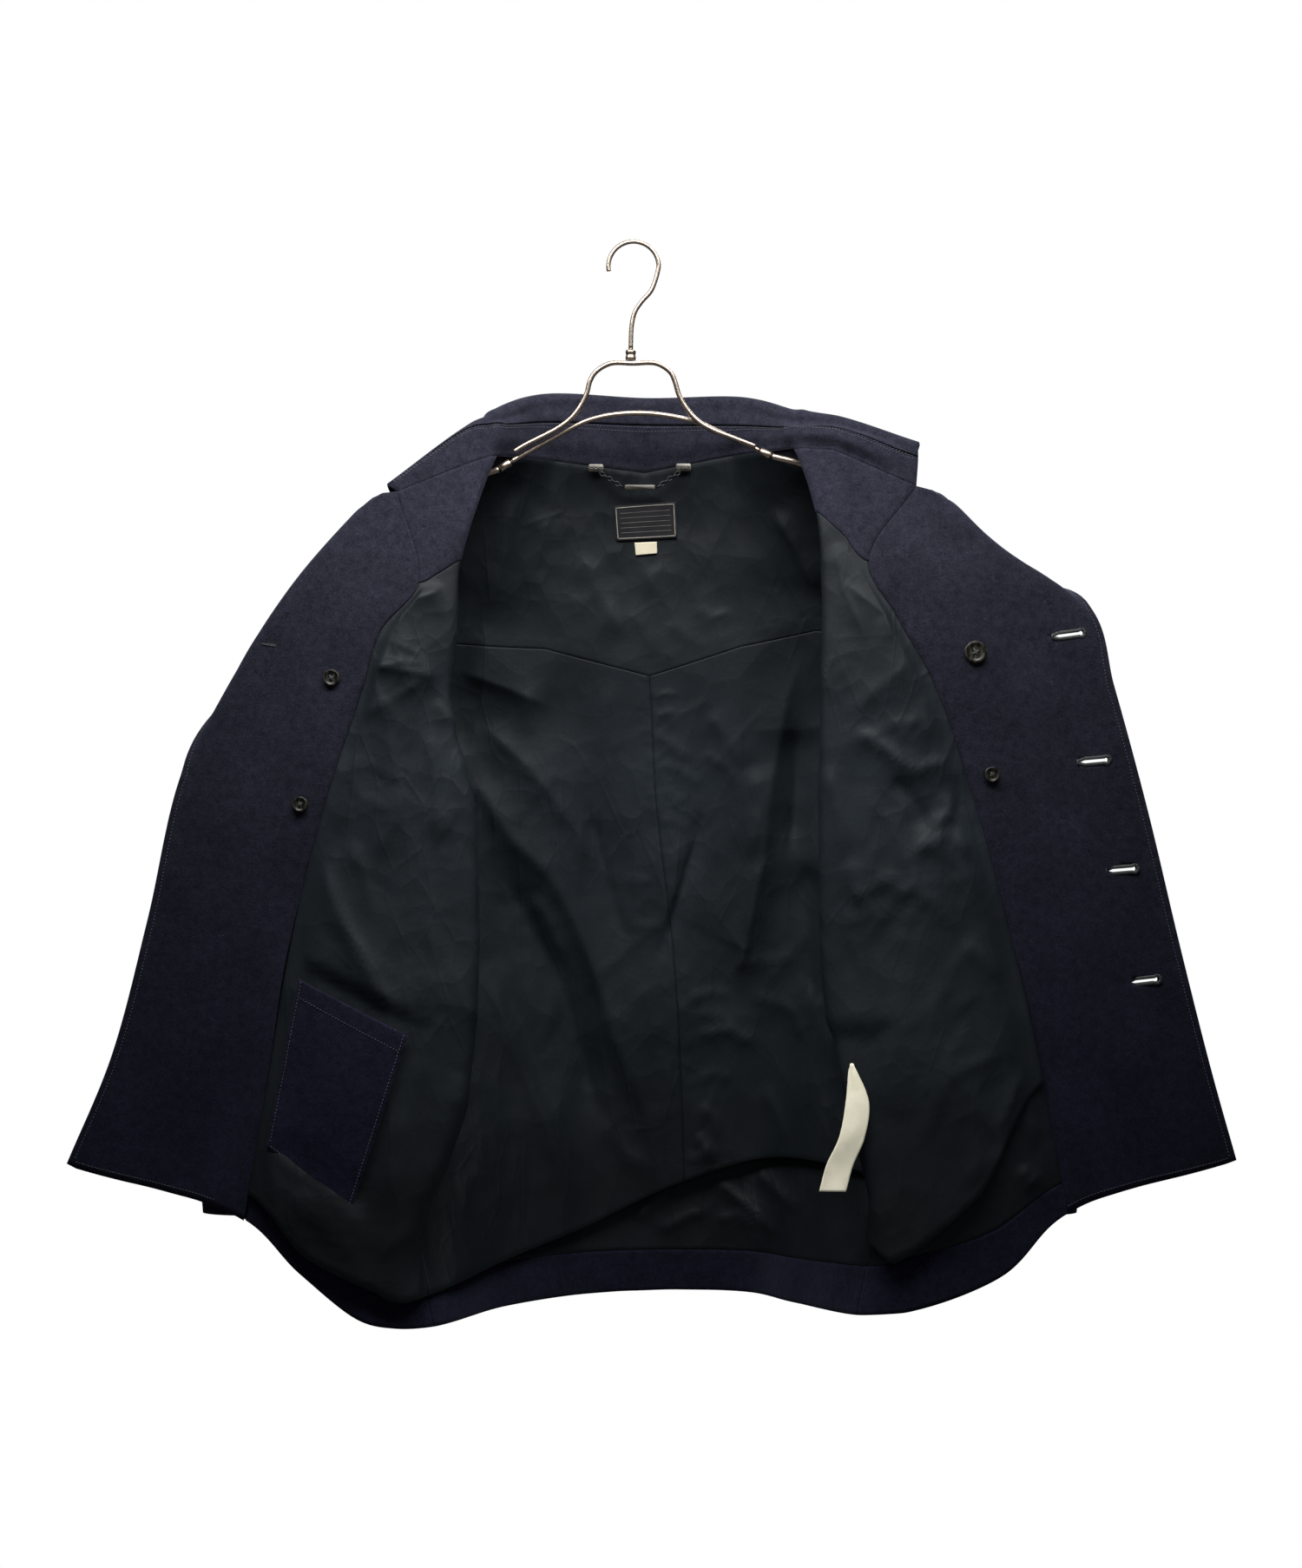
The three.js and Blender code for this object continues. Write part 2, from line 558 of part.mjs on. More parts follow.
// Sleeves: rings from the armhole to the cuff
function sleeveRings(side, hand) {
  const rings = [];
  const sideGuide = guide(side.side);
  const first = [];
  for (let k = 0; k < SLEEVE_SIDES; k += 1) {
    const angle = (2 * Math.PI * k) / SLEEVE_SIDES;
    const v = SCYE_LEVEL * (0.5 - 0.5 * Math.cos(angle));
    const edge = splineAt(sideGuide, v);
    const lift = v < 1 ? SHOULDER_ROUND * 0.6 * 4 * v * (1 - v) : 0;
    edge.y += (Math.sin(angle) >= 0 ? 1 : -1) * (lift + scyeHalfWidth(v));
    edge.x += hand * SLEEVE_STAND_OFF;
    first.push(edge);
  }
  rings.push(first);
  for (const row of SLEEVE_ROWS) {
    const ring = [];
    for (let k = 0; k < SLEEVE_SIDES; k += 1) {
      const angle = (2 * Math.PI * k) / SLEEVE_SIDES;
      const part = 0.5 - 0.5 * Math.cos(angle);
      const x = blend(row.outer[0], row.inner[0], part);
      const z = blend(row.outer[1], row.inner[1], part);
      const y = row.y + row.half * Math.sin(angle);
      ring.push(new THREE.Vector3(hand < 0 ? x : 2 * MIRROR_X - x, y, z));
    }
    rings.push(ring);
  }
  return rings;
}

function ringOffset(rings, distance) {
  return rings.map((ring) => {
    const centre = ring.reduce((sum, p) => sum.add(p), new THREE.Vector3()).divideScalar(ring.length);
    return ring.map((p) => {
      const out = p.clone().sub(centre).normalize();
      return p.clone().addScaledVector(out, distance);
    });
  });
}

function tubeWall(rings) {
  const sides = rings[0].length;
  const layers = [ringOffset(rings, WOOL / 2), ringOffset(rings, -WOOL / 2)];
  const positions = layers.flat(2).flatMap((p) => [p.x, p.y, p.z]);
  const size = rings.length * sides;
  const index = (layer, i, k) => layer * size + i * sides + (k % sides);
  const faces = [];
  const quad = (a, b, c, d) => faces.push(a, b, c, a, c, d);
  for (let k = 0; k < sides; k += 1) {
    for (let i = 0; i < rings.length - 1; i += 1) {
      quad(index(0, i, k), index(0, i, k + 1), index(0, i + 1, k + 1), index(0, i + 1, k));
      quad(index(1, i, k), index(1, i + 1, k), index(1, i + 1, k + 1), index(1, i, k + 1));
    }
    const last = rings.length - 1;
    quad(index(0, 0, k), index(1, 0, k), index(1, 0, k + 1), index(0, 0, k + 1));
    quad(index(0, last, k), index(0, last, k + 1), index(1, last, k + 1), index(1, last, k));
  }
  return outwardFacing(new THREE.Float32BufferAttribute(positions, 3), faces);
}

function addSleeves() {
  addWool('sleeve_left', tubeWall(sleeveRings(LEFT, -1)));
  addWool('sleeve_right', tubeWall(sleeveRings(RIGHT, 1)));
}

// Hanger
function rod(points, radius, sides = 8, steps = 3) {
  const curve = new THREE.CatmullRomCurve3(points.map(vector), false, 'centripetal');
  const circle = new THREE.Shape();
  for (let k = 0; k < sides; k += 1) {
    const angle = (2 * Math.PI * k) / sides;
    const x = radius * Math.cos(angle);
    const y = radius * Math.sin(angle);
    if (k === 0) circle.moveTo(x, y);
    else circle.lineTo(x, y);
  }
  circle.closePath();
  const settings = { extrudePath: curve, steps: (points.length - 1) * steps };
  return new THREE.ExtrudeGeometry(circle, settings);
}

function hookPath() {
  const arc = [];
  for (let degrees = 190; degrees >= 0; degrees -= 19) {
    const angle = THREE.MathUtils.degToRad(degrees);
    const x = 1.5 + HOOK_RADIUS * Math.cos(angle);
    arc.push([x, 0, HOOK_CENTRE_Z + HOOK_RADIUS * Math.sin(angle)]);
  }
  const neck = [[17.5, 0, -41], [9, 0, -51], [3, 0, -60], [0, 0, -72], [-1, 0, -94]];
  return [...arc, ...neck];
}

function disc(radius, height, at, axis) {
  const shape = new THREE.CylinderGeometry(radius, radius, height, 12);
  shape.applyQuaternion(new THREE.Quaternion().setFromUnitVectors(new THREE.Vector3(0, 1, 0), axis));
  shape.translate(at.x, at.y, at.z);
  return shape;
}

function addHanger() {
  addMetal('hanger_hook', rod(hookPath(), HOOK_WIRE, 8, 2));
  addMetal('hanger_ferrule', disc(4.6, 8.6, new THREE.Vector3(-1, 0, -98.8), UP));
  const front = -WIRE_SET;
  const bridge = [[-104, -184.5], [-95, -179], [-66, -164], [-54, -155], [-46, -145],
    [-40, -133], [-37, -122], [-32, -114], [-19, -106.5], [1, -106.3], [22, -106.5],
    [34, -114], [38, -122], [42, -135], [49, -147], [58, -157], [71, -165], [89, -172],
    [110, -180]].map(([x, z]) => [x, front, z]);
  addMetal('hanger_frame', rod(bridge, FRAME_WIRE, 8, 2));
  const bar = [[-107, -193], [-75, -175], [-36, -155.5], [7, -150], [54, -157], [89, -172],
    [113, -183]].map(([x, z]) => [x, WIRE_SET, z]);
  addMetal('hanger_bar', rod(bar, FRAME_WIRE, 8, 3));
  const leftArm = [[-118, 1, -200], [-150, 1, -210.9], [-178, 1.5, -224.1], [-205, 2, -238.1]];
  const rightArm = [[124.5, 1, -188.5], [156, 1, -197.1], [190, 1.5, -217.6], [222, 2, -237.6]];
  for (const [side, arm, end] of [['left', leftArm, bar[0]], ['right', rightArm, bar.at(-1)]]) {
    addMetal(`hanger_arm_${side}`, rod(arm, ARM_RADIUS));
    const from = vector(end);
    const to = vector(arm[0]);
    const axis = to.clone().sub(from);
    const length = axis.length() - 2;
    const centre = from.lerp(to, 0.5);
    addMetal(`hanger_sleeve_${side}`, disc(ARM_RADIUS + 0.6, length, centre, axis.normalize()));
  }
}

// Small things laid on a sheet
function buttonOn(sheet, at, radius, height, offset, rearFace = false) {
  const place = locate(sheet, at[0], at[1], at[2] ?? 1, at[3] ?? 3);
  const inward = inwardAt(sheet, place.u, place.v);
  if (rearFace) inward.negate();
  const dish = radius * 0.62;
  const profile = [[0, 0], [radius * 0.9, 0], [radius, height * 0.5], [radius * 0.85, height],
    [dish, height], [dish * 0.8, height * 0.65], [0, height * 0.65]];
  const shape = new THREE.LatheGeometry(profile.map(([x, y]) => new THREE.Vector2(x, y)), 12);
  shape.applyQuaternion(new THREE.Quaternion().setFromUnitVectors(new THREE.Vector3(0, 1, 0), inward));
  const base = frontPoint(sheet, place.u, place.v).addScaledVector(inward, offset);
  shape.translate(base.x, base.y, base.z);
  return shape;
}

const INSIDE_BUTTONS = [
  { name: 'backing_button_left_upper', sheet: leftFront, at: [-260, -387], radius: 7.5 },
  { name: 'backing_button_left_lower', sheet: leftFront, at: [-286, -497], radius: 7 },
  { name: 'inner_button_right', sheet: rightFront, at: [298, -365], radius: 10 },
  { name: 'backing_button_right', sheet: rightFront, at: [312, -471], radius: 7 },
];
const OUTSIDE_BUTTONS = {
  left: [[-260, -387], [-286, -497], [-316, -596], [-336, -694]],
  right: [[298, -365], [312, -471], [336, -575], [360, -676]],
};

function addButtons() {
  for (const { name, sheet, at, radius } of INSIDE_BUTTONS) {
    const lift = facingFace + 0.6;
    addButton(name, buttonOn(sheet, at, radius, BUTTON_HEIGHT, lift));
  }
  for (const [side, sheet] of [['left', leftFront], ['right', rightFront]]) {
    OUTSIDE_BUTTONS[side].forEach((at, i) => {
      const lift = WOOL + 0.9;
      const button = buttonOn(sheet, at, COAT_BUTTON_RADIUS, COAT_BUTTON_HEIGHT, lift, true);
      addButton(`coat_button_${side}_${i + 1}`, button);
    });
  }
}

// Buttonholes: keyhole slits through the right front and its facing
const BUTTONHOLES = [[380, -349], [402, -459], [427, -554], [447, -651]];
const SLIT = { length: 25, width: 3.4, eye: 2.4, depth: 30 };

function slitSolid(at) {
  const place = locate(rightFront, at[0], at[1], 0.3, 3);
  const centre = frontPoint(rightFront, place.u, place.v);
  const inward = inwardAt(rightFront, place.u, place.v);
  const along = frontPoint(rightFront, place.u - 0.02, place.v).sub(centre);
  along.z += Math.abs(along.x) * 0.1;
  along.addScaledVector(inward, -along.dot(inward)).normalize();
  const across = inward.clone().cross(along);
  const half = SLIT.width / 2;
  const end = SLIT.length / 2;
  const shape = new THREE.Shape();
  shape.moveTo(-end, 0);
  shape.lineTo(-end + 5, -half);
  shape.lineTo(end - SLIT.eye, -half);
  shape.absarc(end, 0, SLIT.eye, -2.4, 2.4, false);
  shape.lineTo(-end + 5, half);
  shape.closePath();
  const settings = { depth: SLIT.depth, bevelEnabled: false, curveSegments: 3 };
  const slit = new THREE.ExtrudeGeometry(shape, settings);
  slit.translate(0, 0, -SLIT.depth / 2);
  slit.applyMatrix4(new THREE.Matrix4().makeBasis(along, across, inward));
  slit.translate(centre.x, centre.y, centre.z);
  return slit;
}

function toManifold(geometry) {
  const bare = new THREE.BufferGeometry();
  bare.setAttribute('position', geometry.getAttribute('position'));
  if (geometry.index) bare.setIndex(geometry.index);
  const merged = mergeVertices(bare, 1e-4);
  const mesh = new wasm.Mesh({
    numProp: 3,
    vertProperties: new Float32Array(merged.getAttribute('position').array),
    triVerts: new Uint32Array(merged.index.array),
  });
  return new wasm.Manifold(mesh);
}

function toGeometry(solid) {
  const mesh = solid.getMesh();
  const geometry = new THREE.BufferGeometry();
  geometry.setAttribute('position', new THREE.BufferAttribute(mesh.vertProperties, 3));
  geometry.setIndex(new THREE.BufferAttribute(mesh.triVerts, 1));
  return geometry;
}

function withButtonholes(geometry) {
  let solid = toManifold(geometry);
  for (const at of BUTTONHOLES) solid = solid.subtract(toManifold(slitSolid(at)));
  return toGeometry(solid);
}

// Patch on a sheet: a quad grid between four corners given by x, z, moved out of the sheet
function patchOn(sheet, corners, steps, from, to, guess) {
  const [topLeft, topRight, lowRight, lowLeft] = corners;
  const grid = (offset) => Array.from({ length: steps + 1 }, (_, i) => {
    return Array.from({ length: steps + 1 }, (_, j) => {
      const s = i / steps;
      const t = j / steps;
      const x = blend(blend(topLeft[0], topRight[0], s), blend(lowLeft[0], lowRight[0], s), t);
      const z = blend(blend(topLeft[1], topRight[1], s), blend(lowLeft[1], lowRight[1], s), t);
      const place = locate(sheet, x, z, guess[0], guess[1]);
      return pointOn(sheet, place.u, place.v, offset);
    });
  });
  return solidBetween(grid(from), grid(to));
}

const POCKET = [[-285, -647], [-192, -696], [-240, -846], [-312, -792]];
const NECK_LABEL = [[-16.8, -226.7], [39.4, -222.6], [40.9, -255.4], [-14.5, -258.3]];
const SIZE_TAB = [[2, -259.8], [22.3, -259], [22.6, -269.6], [3, -271.4]];

function addLabels() {
  const onLining = LINING_GAP + LINING + 1.1;
  const pocketFloor = 7.2;
  addWool('inner_pocket', patchOn(leftFront, POCKET, 4, pocketFloor, pocketFloor + WOOL, [1.6, 5.4]));
  const label = patchOn(back, NECK_LABEL, 3, onLining, onLining + 0.8, [4, 0.5]);
  add('neck_label', label, 0x16171c, 0.7);
  const tab = patchOn(back, SIZE_TAB, 2, onLining, onLining + 0.6, [4, 0.8]);
  add('size_tab', tab, 0xb9b299, 0.7);
  addCareLabel();
}

// Care label: a satin strip hanging free from the right side seam of the lining
const CARE_ROWS = [
  { left: 187, right: 191, y: -83.6, z: -719 },
  { left: 184, right: 204, y: -90, z: -752 },
  { left: 178, right: 200, y: -94, z: -782 },
  { left: 167, right: 190, y: -94, z: -806 },
  { left: 161, right: 184, y: -95, z: -828 },
];
const CARE_THICKNESS = 1;

function addCareLabel() {
  const layer = (depth) => ['left', 'right'].map((edge) => CARE_ROWS.map((row) => (
    new THREE.Vector3(row[edge], row.y - (edge === 'left' ? 0 : 2) - depth, row.z))));
  add('care_label', solidBetween(layer(0), layer(CARE_THICKNESS)), 0xcfc9b2, 0.5);
}

// Hanging chain between two plates at the back of the neck
const CHAIN = { left: [-32.6, 53, -193.5], middle: [7, 54, -211], right: [46.5, 55.6, -192.7] };
const CHAIN_LINKS = 4;
const PLATE_SIZE = [14, 1.2, 7];
const BAR_SIZE = [28, 1.4, 4.6];
const LINK_RADIUS = 2.6;
const LINK_WIRE = 0.75;

function linkSolid(centre, direction, pitch, flat) {
  const ring = new THREE.TorusGeometry(LINK_RADIUS, LINK_WIRE, 4, 8);
  ring.scale((pitch / 2 + 0.55) / LINK_RADIUS, 0.85, 1);
  if (flat) ring.rotateX(Math.PI / 2);
  const turn = new THREE.Quaternion().setFromUnitVectors(new THREE.Vector3(1, 0, 0), direction);
  ring.applyQuaternion(turn);
  ring.translate(centre.x, centre.y, centre.z);
  return toManifold(ring);
}

function chainSide(from, to) {
  let solid = null;
  const direction = to.clone().sub(from).normalize();
  const pitch = to.distanceTo(from) / CHAIN_LINKS;
  for (let i = 0; i < CHAIN_LINKS; i += 1) {
    const centre = from.clone().lerp(to, (i + 0.5) / CHAIN_LINKS);
    const link = linkSolid(centre, direction, pitch, i % 2 === 1);
    solid = solid ? solid.add(link) : link;
  }
  return toGeometry(solid);
}

function slab(size, at) {
  const shape = new THREE.BoxGeometry(size[0], size[1], size[2]);
  shape.translate(at.x, at.y, at.z);
  return shape;
}

function addChain() {
  const left = vector(CHAIN.left);
  const right = vector(CHAIN.right);
  addMetal('chain_plate_left', slab(PLATE_SIZE, left));
  addMetal('chain_plate_right', slab(PLATE_SIZE, right));
  const middle = vector(CHAIN.middle);
  addMetal('chain_bar', slab(BAR_SIZE, middle));
  const barLeft = middle.clone().add(new THREE.Vector3(-15.4, 0, 0));
  const barRight = middle.clone().add(new THREE.Vector3(15.4, 0, 0));
  const fromLeft = left.clone().add(new THREE.Vector3(4, -1.9, -4.6));
  const fromRight = right.clone().add(new THREE.Vector3(-4, -2.3, -4.6));
  addMetal('chain_left', chainSide(fromLeft, barLeft));
  addMetal('chain_right', chainSide(fromRight, barRight));
}

addHanger();
addShell();
addFacings();
addLinings();
addHemPieces();
addCollar();
addSleeves();
addButtons();
addLabels();
addChain();

export default group;
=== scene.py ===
# Looks of a pea coat that hangs open on a metal hanger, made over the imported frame.
# All tables are in millimetres in the frame of the CAD; meshes are written in metres.
import math

import bpy
import numpy as np
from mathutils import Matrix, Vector


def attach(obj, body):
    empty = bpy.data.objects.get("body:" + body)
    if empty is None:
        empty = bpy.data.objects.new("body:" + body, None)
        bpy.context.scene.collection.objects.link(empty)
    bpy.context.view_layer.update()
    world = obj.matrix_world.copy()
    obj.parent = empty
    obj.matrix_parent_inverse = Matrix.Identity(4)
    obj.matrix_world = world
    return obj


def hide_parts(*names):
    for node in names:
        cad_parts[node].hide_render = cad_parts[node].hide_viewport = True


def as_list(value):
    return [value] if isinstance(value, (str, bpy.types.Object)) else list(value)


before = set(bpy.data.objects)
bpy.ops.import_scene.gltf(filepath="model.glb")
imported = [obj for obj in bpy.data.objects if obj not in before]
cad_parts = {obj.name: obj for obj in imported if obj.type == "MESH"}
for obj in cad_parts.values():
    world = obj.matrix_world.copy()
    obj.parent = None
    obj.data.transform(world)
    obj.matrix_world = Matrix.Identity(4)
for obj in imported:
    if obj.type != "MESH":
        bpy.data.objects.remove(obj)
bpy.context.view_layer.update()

# Camera: level, straight at the open front. LENS is for the photograph's long side.
EYE_MM = (17, -2800, -479)
LENS = 72.5
SENSOR = 36

# Cloth thicknesses and gaps
WOOL = 2.0
FACING = 1.8
LINING = 1.0
COLLAR = 4.0
LAYER_GAP = 0.5
LINING_GAP = 0.8
LINING_HANG = 4.6
RETURN_GAP = 1.5
FACING_FACE = LAYER_GAP + FACING
LINING_FACE = LINING_GAP + LINING

# Guide lines, gorge to hem through eight levels, x, y, z at each
CENTRE_BACK = [
    [11, 66, -197], [13, 71, -290], [14, 74, -350], [17, 76, -405],
    [22, 78, -500], [38, 78, -640], [46, 76, -785], [48, 74, -939],
]
LEFT = {
    "nape": [[-72, 52, -187], [-76, 64, -290], [-79, 70, -350], [-80, 74, -405],
             [-75, 78, -500], [-62, 78, -640], [-50, 72, -785], [-35, 60, -940]],
    "neck": [[-118, 0, -187], [-148, 50, -300], [-158, 62, -366], [-165, 66, -415],
             [-170, 58, -500], [-155, 46, -640], [-138, 30, -785], [-112, 0, -942]],
    "side": [[-238, 2, -250], [-229, 16, -315], [-231, 17, -378], [-241, 12, -440],
             [-250, 4, -497], [-218, -26, -640], [-212, -52, -775], [-170, -88, -945]],
    "under": [[-118, 0, -187], [-188, -24, -312], [-195, -29, -362], [-198, -32, -415],
              [-195, -32, -503], [-178, -44, -638], [-182, -70, -770], [-200, -94, -946]],
    "fold": [[-123, -16, -190], [-151, -44, -284], [-157, -50, -345], [-164, -56, -402],
             [-143, -62, -509], [-139, -68, -636], [-155, -80, -762], [-231, -93, -940]],
    "wing": [[-142, -24, -197], [-168, -54, -296], [-186, -60, -346], [-198, -64, -400],
             [-200, -70, -508], [-212, -78, -632], [-232, -88, -752], [-285, -86, -900]],
    "seam": [[-206, -30, -223], [-185, -57, -305], [-217, -61, -346], [-233, -62, -397],
             [-267, -64, -505], [-297, -66, -625], [-314, -70, -742], [-333, -72, -856]],
    "edge": [[-218, -32, -224], [-275, -44, -288], [-313, -46, -340], [-337, -46, -380],
             [-384, -42, -472], [-414, -38, -600], [-447, -32, -721], [-488, -24, -817]],
}
RIGHT = {
    "nape": [[92, 52, -182], [96, 64, -290], [98, 70, -350], [100, 75, -405],
             [104, 78, -500], [112, 77, -640], [112, 72, -785], [108, 58, -939]],
    "neck": [[142, 0, -181], [160, 50, -295], [168, 62, -355], [176, 66, -415],
             [180, 58, -500], [176, 40, -640], [165, 22, -780], [145, -6, -938]],
    "side": [[252, 2, -250], [243, 16, -315], [245, 17, -378], [255, 12, -440],
             [262, 4, -497], [228, -32, -640], [232, -52, -768], [195, -82, -936]],
    "under": [[142, 0, -181], [206, -24, -285], [212, -29, -345], [214, -32, -408],
              [208, -34, -504], [196, -50, -638], [208, -72, -762], [220, -90, -934]],
    "fold": [[147, -16, -184], [163, -38, -241], [172, -48, -313], [171, -56, -378],
             [169, -62, -509], [171, -68, -636], [190, -82, -752], [242, -92, -931]],
    "wing": [[178, -24, -186], [184, -48, -262], [198, -58, -322], [214, -64, -386],
             [232, -72, -505], [252, -78, -631], [275, -84, -746], [318, -84, -903]],
    "seam": [[250, -28, -218], [206, -52, -286], [231, -58, -335], [263, -61, -394],
             [299, -62, -500], [332, -64, -625], [356, -66, -739], [377, -66, -851]],
    "edge": [[262, -30, -221], [321, -42, -277], [392, -44, -332], [411, -43, -393],
             [441, -40, -502], [471, -36, -625], [499, -30, -732], [523, -22, -813]],
}
LAPEL_RADIUS = 6
LEFT_LAPEL = {"width": [52, 58, 50, 34, 10, 10, 10, 10],
              "turn": [3.05, 3.05, 3.0, 2.4, 0.2, 0, 0, 0]}
RIGHT_LAPEL = {"width": [50, 58, 14, 10, 10, 10, 10, 10],
               "turn": [3.05, 3.0, 0.6, 0, 0, 0, 0, 0]}

# Collar columns from its left end round the neck: seam, stand seam, roll, fall, turn
COLLAR_COLUMNS = [
    (LEFT["seam"][0], [-214, -27, -218], [-215, -21, -217], 28, 0.5),
    (LEFT["wing"][0], [-141, -14, -165], [-140, -11, -162], 46, 2.0),
    (LEFT["fold"][0], [-124, -7, -162], [-124, -4, -157], 56, 2.2),
    (LEFT["neck"][0], [-115, 8, -160], [-114, 9, -152], 66, 2.3),
    (LEFT["nape"][0], [-75, 48, -153], [-75, 46, -135], 80, 2.6),
    (CENTRE_BACK[0], [11, 61, -154], [11, 58, -138], 84, 2.75),
    (RIGHT["nape"][0], [93, 48, -156], [93, 46, -138], 80, 2.6),
    (RIGHT["neck"][0], [139, 8, -163], [138, 9, -153], 66, 2.3),
    (RIGHT["fold"][0], [150, -5, -165], [150, -6, -156], 56, 2.4),
    (RIGHT["wing"][0], [180, -16, -169], [180, -14, -160], 50, 2.6),
    (RIGHT["seam"][0], [252, -24, -192], [252, -22, -184], 46, 3.0),
]
COLLAR_RADIUS = 6

SHOULDER_ROUND = 12
SCYE_HALF_WIDTH = 27
SCYE_LEVEL = 4
HEM_BAND_TOP = 6.76
RETURN_TOP = 6

# Columns of the front and back sheets
EDGE, SEAM, FOLD, SIDE = 0, 1, 3, 5
BACK_LEFT_SIDE, BACK_CENTRE, BACK_RIGHT_SIDE = 1, 4, 7

LEFT_LINING_HEM = [-830, -834, -884, -914, -924, -920]
RIGHT_LINING_HEM = [-730, -738, -832, -888, -876, -866]
BACK_LINING_HEM = [-920, -920, -904, -879, -840, -821, -815, -826, -840]
YOKE_SEAM = [-352, -352, -352, -356, -381, -354, -340, -340, -340]

MIRROR_X = 7
# Left sleeve sections, armhole to cuff: outer x, z, inner x, z, mid depth, half depth
SLEEVE_ROWS = [
    (-262, -268, -256, -498, 16, 31), (-290, -305, -258, -500, 21, 33),
    (-318, -352, -260, -506, 25, 36), (-342, -402, -262, -516, 28, 37),
    (-362, -455, -263, -534, 30, 38), (-378, -520, -263, -566, 31, 38),
    (-388, -600, -261, -624, 30, 38), (-392, -700, -255, -712, 28, 36),
    (-389, -790, -250, -796, 27, 34), (-383, -862, -247, -860, 26, 32),
]
SLEEVE_STAND_OFF = 2.6

HOOK_WIRE = 2.0
FRAME_WIRE = 2.2
ARM_RADIUS = 3.0
WIRE_SET = 2.4
HOOK_RADIUS = 22.3

STEP = 0.004


# ---------------------------------------------------------------- curves and sheets
def smooth(t):
    k = np.clip(t, 0, 1)
    return k * k * (3 - 2 * k)


def unit(v):
    return v / np.maximum(np.linalg.norm(v, axis=-1, keepdims=True), 1e-12)


def row_at(values, t):
    return np.interp(t, np.arange(len(values)), values)


def curve(points, t):
    """Centripetal Catmull-Rom curve; points is (n, N or 1, 3) and t is (N,)."""
    n = len(points)
    i = np.clip(np.floor(t).astype(int), 0, n - 2)
    f = (t - i)[:, None]
    c = np.arange(len(t)) if points.shape[1] > 1 else np.zeros(len(t), int)
    p1, p2 = points[i, c], points[i + 1, c]
    p0 = np.where((i > 0)[:, None], points[np.maximum(i - 1, 0), c], 2 * p1 - p2)
    p3 = np.where((i + 2 < n)[:, None], points[np.minimum(i + 2, n - 1), c], 2 * p2 - p1)
    a, b, d = (
        np.sqrt(np.maximum(np.linalg.norm(q - p, axis=1), 1e-9))[:, None]
        for p, q in ((p0, p1), (p1, p2), (p2, p3))
    )
    m1 = b * ((p1 - p0) / a - (p2 - p0) / (a + b) + (p2 - p1) / b)
    m2 = b * ((p2 - p1) / b - (p3 - p1) / (b + d) + (p3 - p2) / d)
    k2 = 3 * (p2 - p1) - 2 * m1 - m2
    k3 = 2 * (p1 - p2) + m1 + m2
    return p1 + m1 * f + k2 * f ** 2 + k3 * f ** 3


def straight(points, t):
    n = len(points)
    i = np.clip(np.floor(t).astype(int), 0, n - 2)
    f = (t - i)[:, None]
    c = np.arange(len(t)) if points.shape[1] > 1 else np.zeros(len(t), int)
    return points[i, c] * (1 - f) + points[i + 1, c] * f


def smooth_line(points, steps):
    """Points of a smooth curve through a few given points."""
    p = np.array(points, float)
    return curve(p[:, None], np.linspace(0, len(p) - 1, steps))


def scye(v):
    part = np.sin(np.pi * np.minimum(v / SCYE_LEVEL, 1))
    return SCYE_HALF_WIDTH * np.maximum(part, 0) ** 0.7


def plain_point(sheet, u, v):
    across = np.stack([curve(g, v) for g in sheet["guides"]])
    for column in sheet["sides"]:
        across[column][:, 1] += sheet["side_sign"] * scye(v)
    k = smooth(v * 1.5)[:, None]
    point = straight(across, u) * (1 - k) + curve(across, u) * k
    lift = np.where(v < 1, SHOULDER_ROUND * 6.75 * v * (1 - v) ** 2, 0)
    point[:, 1] += lift * row_at(sheet["round"], u)
    return point


def turned(start, outward, rear, length, radius, angle):
    bent = np.minimum(length, radius * angle)
    turn = bent / radius
    rest = length - bent
    out = radius * np.sin(turn) + rest * np.cos(turn)
    back = radius * (1 - np.cos(turn)) + rest * np.sin(turn)
    return start + outward * out[:, None] + rear * back[:, None]


def front_point(sheet, u, v):
    point = plain_point(sheet, np.maximum(u, 0), v)
    beyond = u < 0
    if sheet["lapel"] and beyond.any():
        w, zero = v[beyond], np.zeros(beyond.sum())
        start = plain_point(sheet, zero, w)
        outward = unit(start - plain_point(sheet, zero + STEP, w))
        down = unit(plain_point(sheet, zero, np.minimum(w + STEP, 7))
                    - plain_point(sheet, zero, np.maximum(w - STEP, 0)))
        outward = unit(outward - down * (outward * down).sum(1, keepdims=True))
        rear = np.cross(outward, down) * sheet["hand"]
        length = -u[beyond] * row_at(sheet["lapel"]["width"], w)
        turn = row_at(sheet["lapel"]["turn"], w)
        radius = LAPEL_RADIUS * (0.2 + 0.8 * smooth(w / 0.35))
        point[beyond] = turned(start, outward, rear, length, radius, turn)
    return point


def collar_point(sheet, u, v):
    rows = [sheet["bottom"], sheet["joint"], sheet["roll"]]
    k = smooth(v)[:, None]
    across = np.stack([straight(r, u) * (1 - k) + curve(r, u) * k for r in rows])
    point = curve(across, np.minimum(v, 2))
    leaf = v > 2
    if leaf.any():
        s = u[leaf]
        round_rows = np.stack([curve(r, s) for r in rows])
        below = curve(round_rows, np.full(len(s), 2 - STEP))
        along = unit(curve(sheet["roll"], np.minimum(s + STEP, sheet["u_max"]))
                     - curve(sheet["roll"], np.maximum(s - STEP, sheet["u_min"])))
        outward = unit(point[leaf] - below)
        outward = unit(outward - along * (outward * along).sum(1, keepdims=True))
        rear = np.cross(outward, along)
        length = (v[leaf] - 2) * row_at(sheet["fall"], s)
        turn = row_at(sheet["turn"], s)
        point[leaf] = turned(point[leaf], outward, rear, length, COLLAR_RADIUS, turn)
    return point


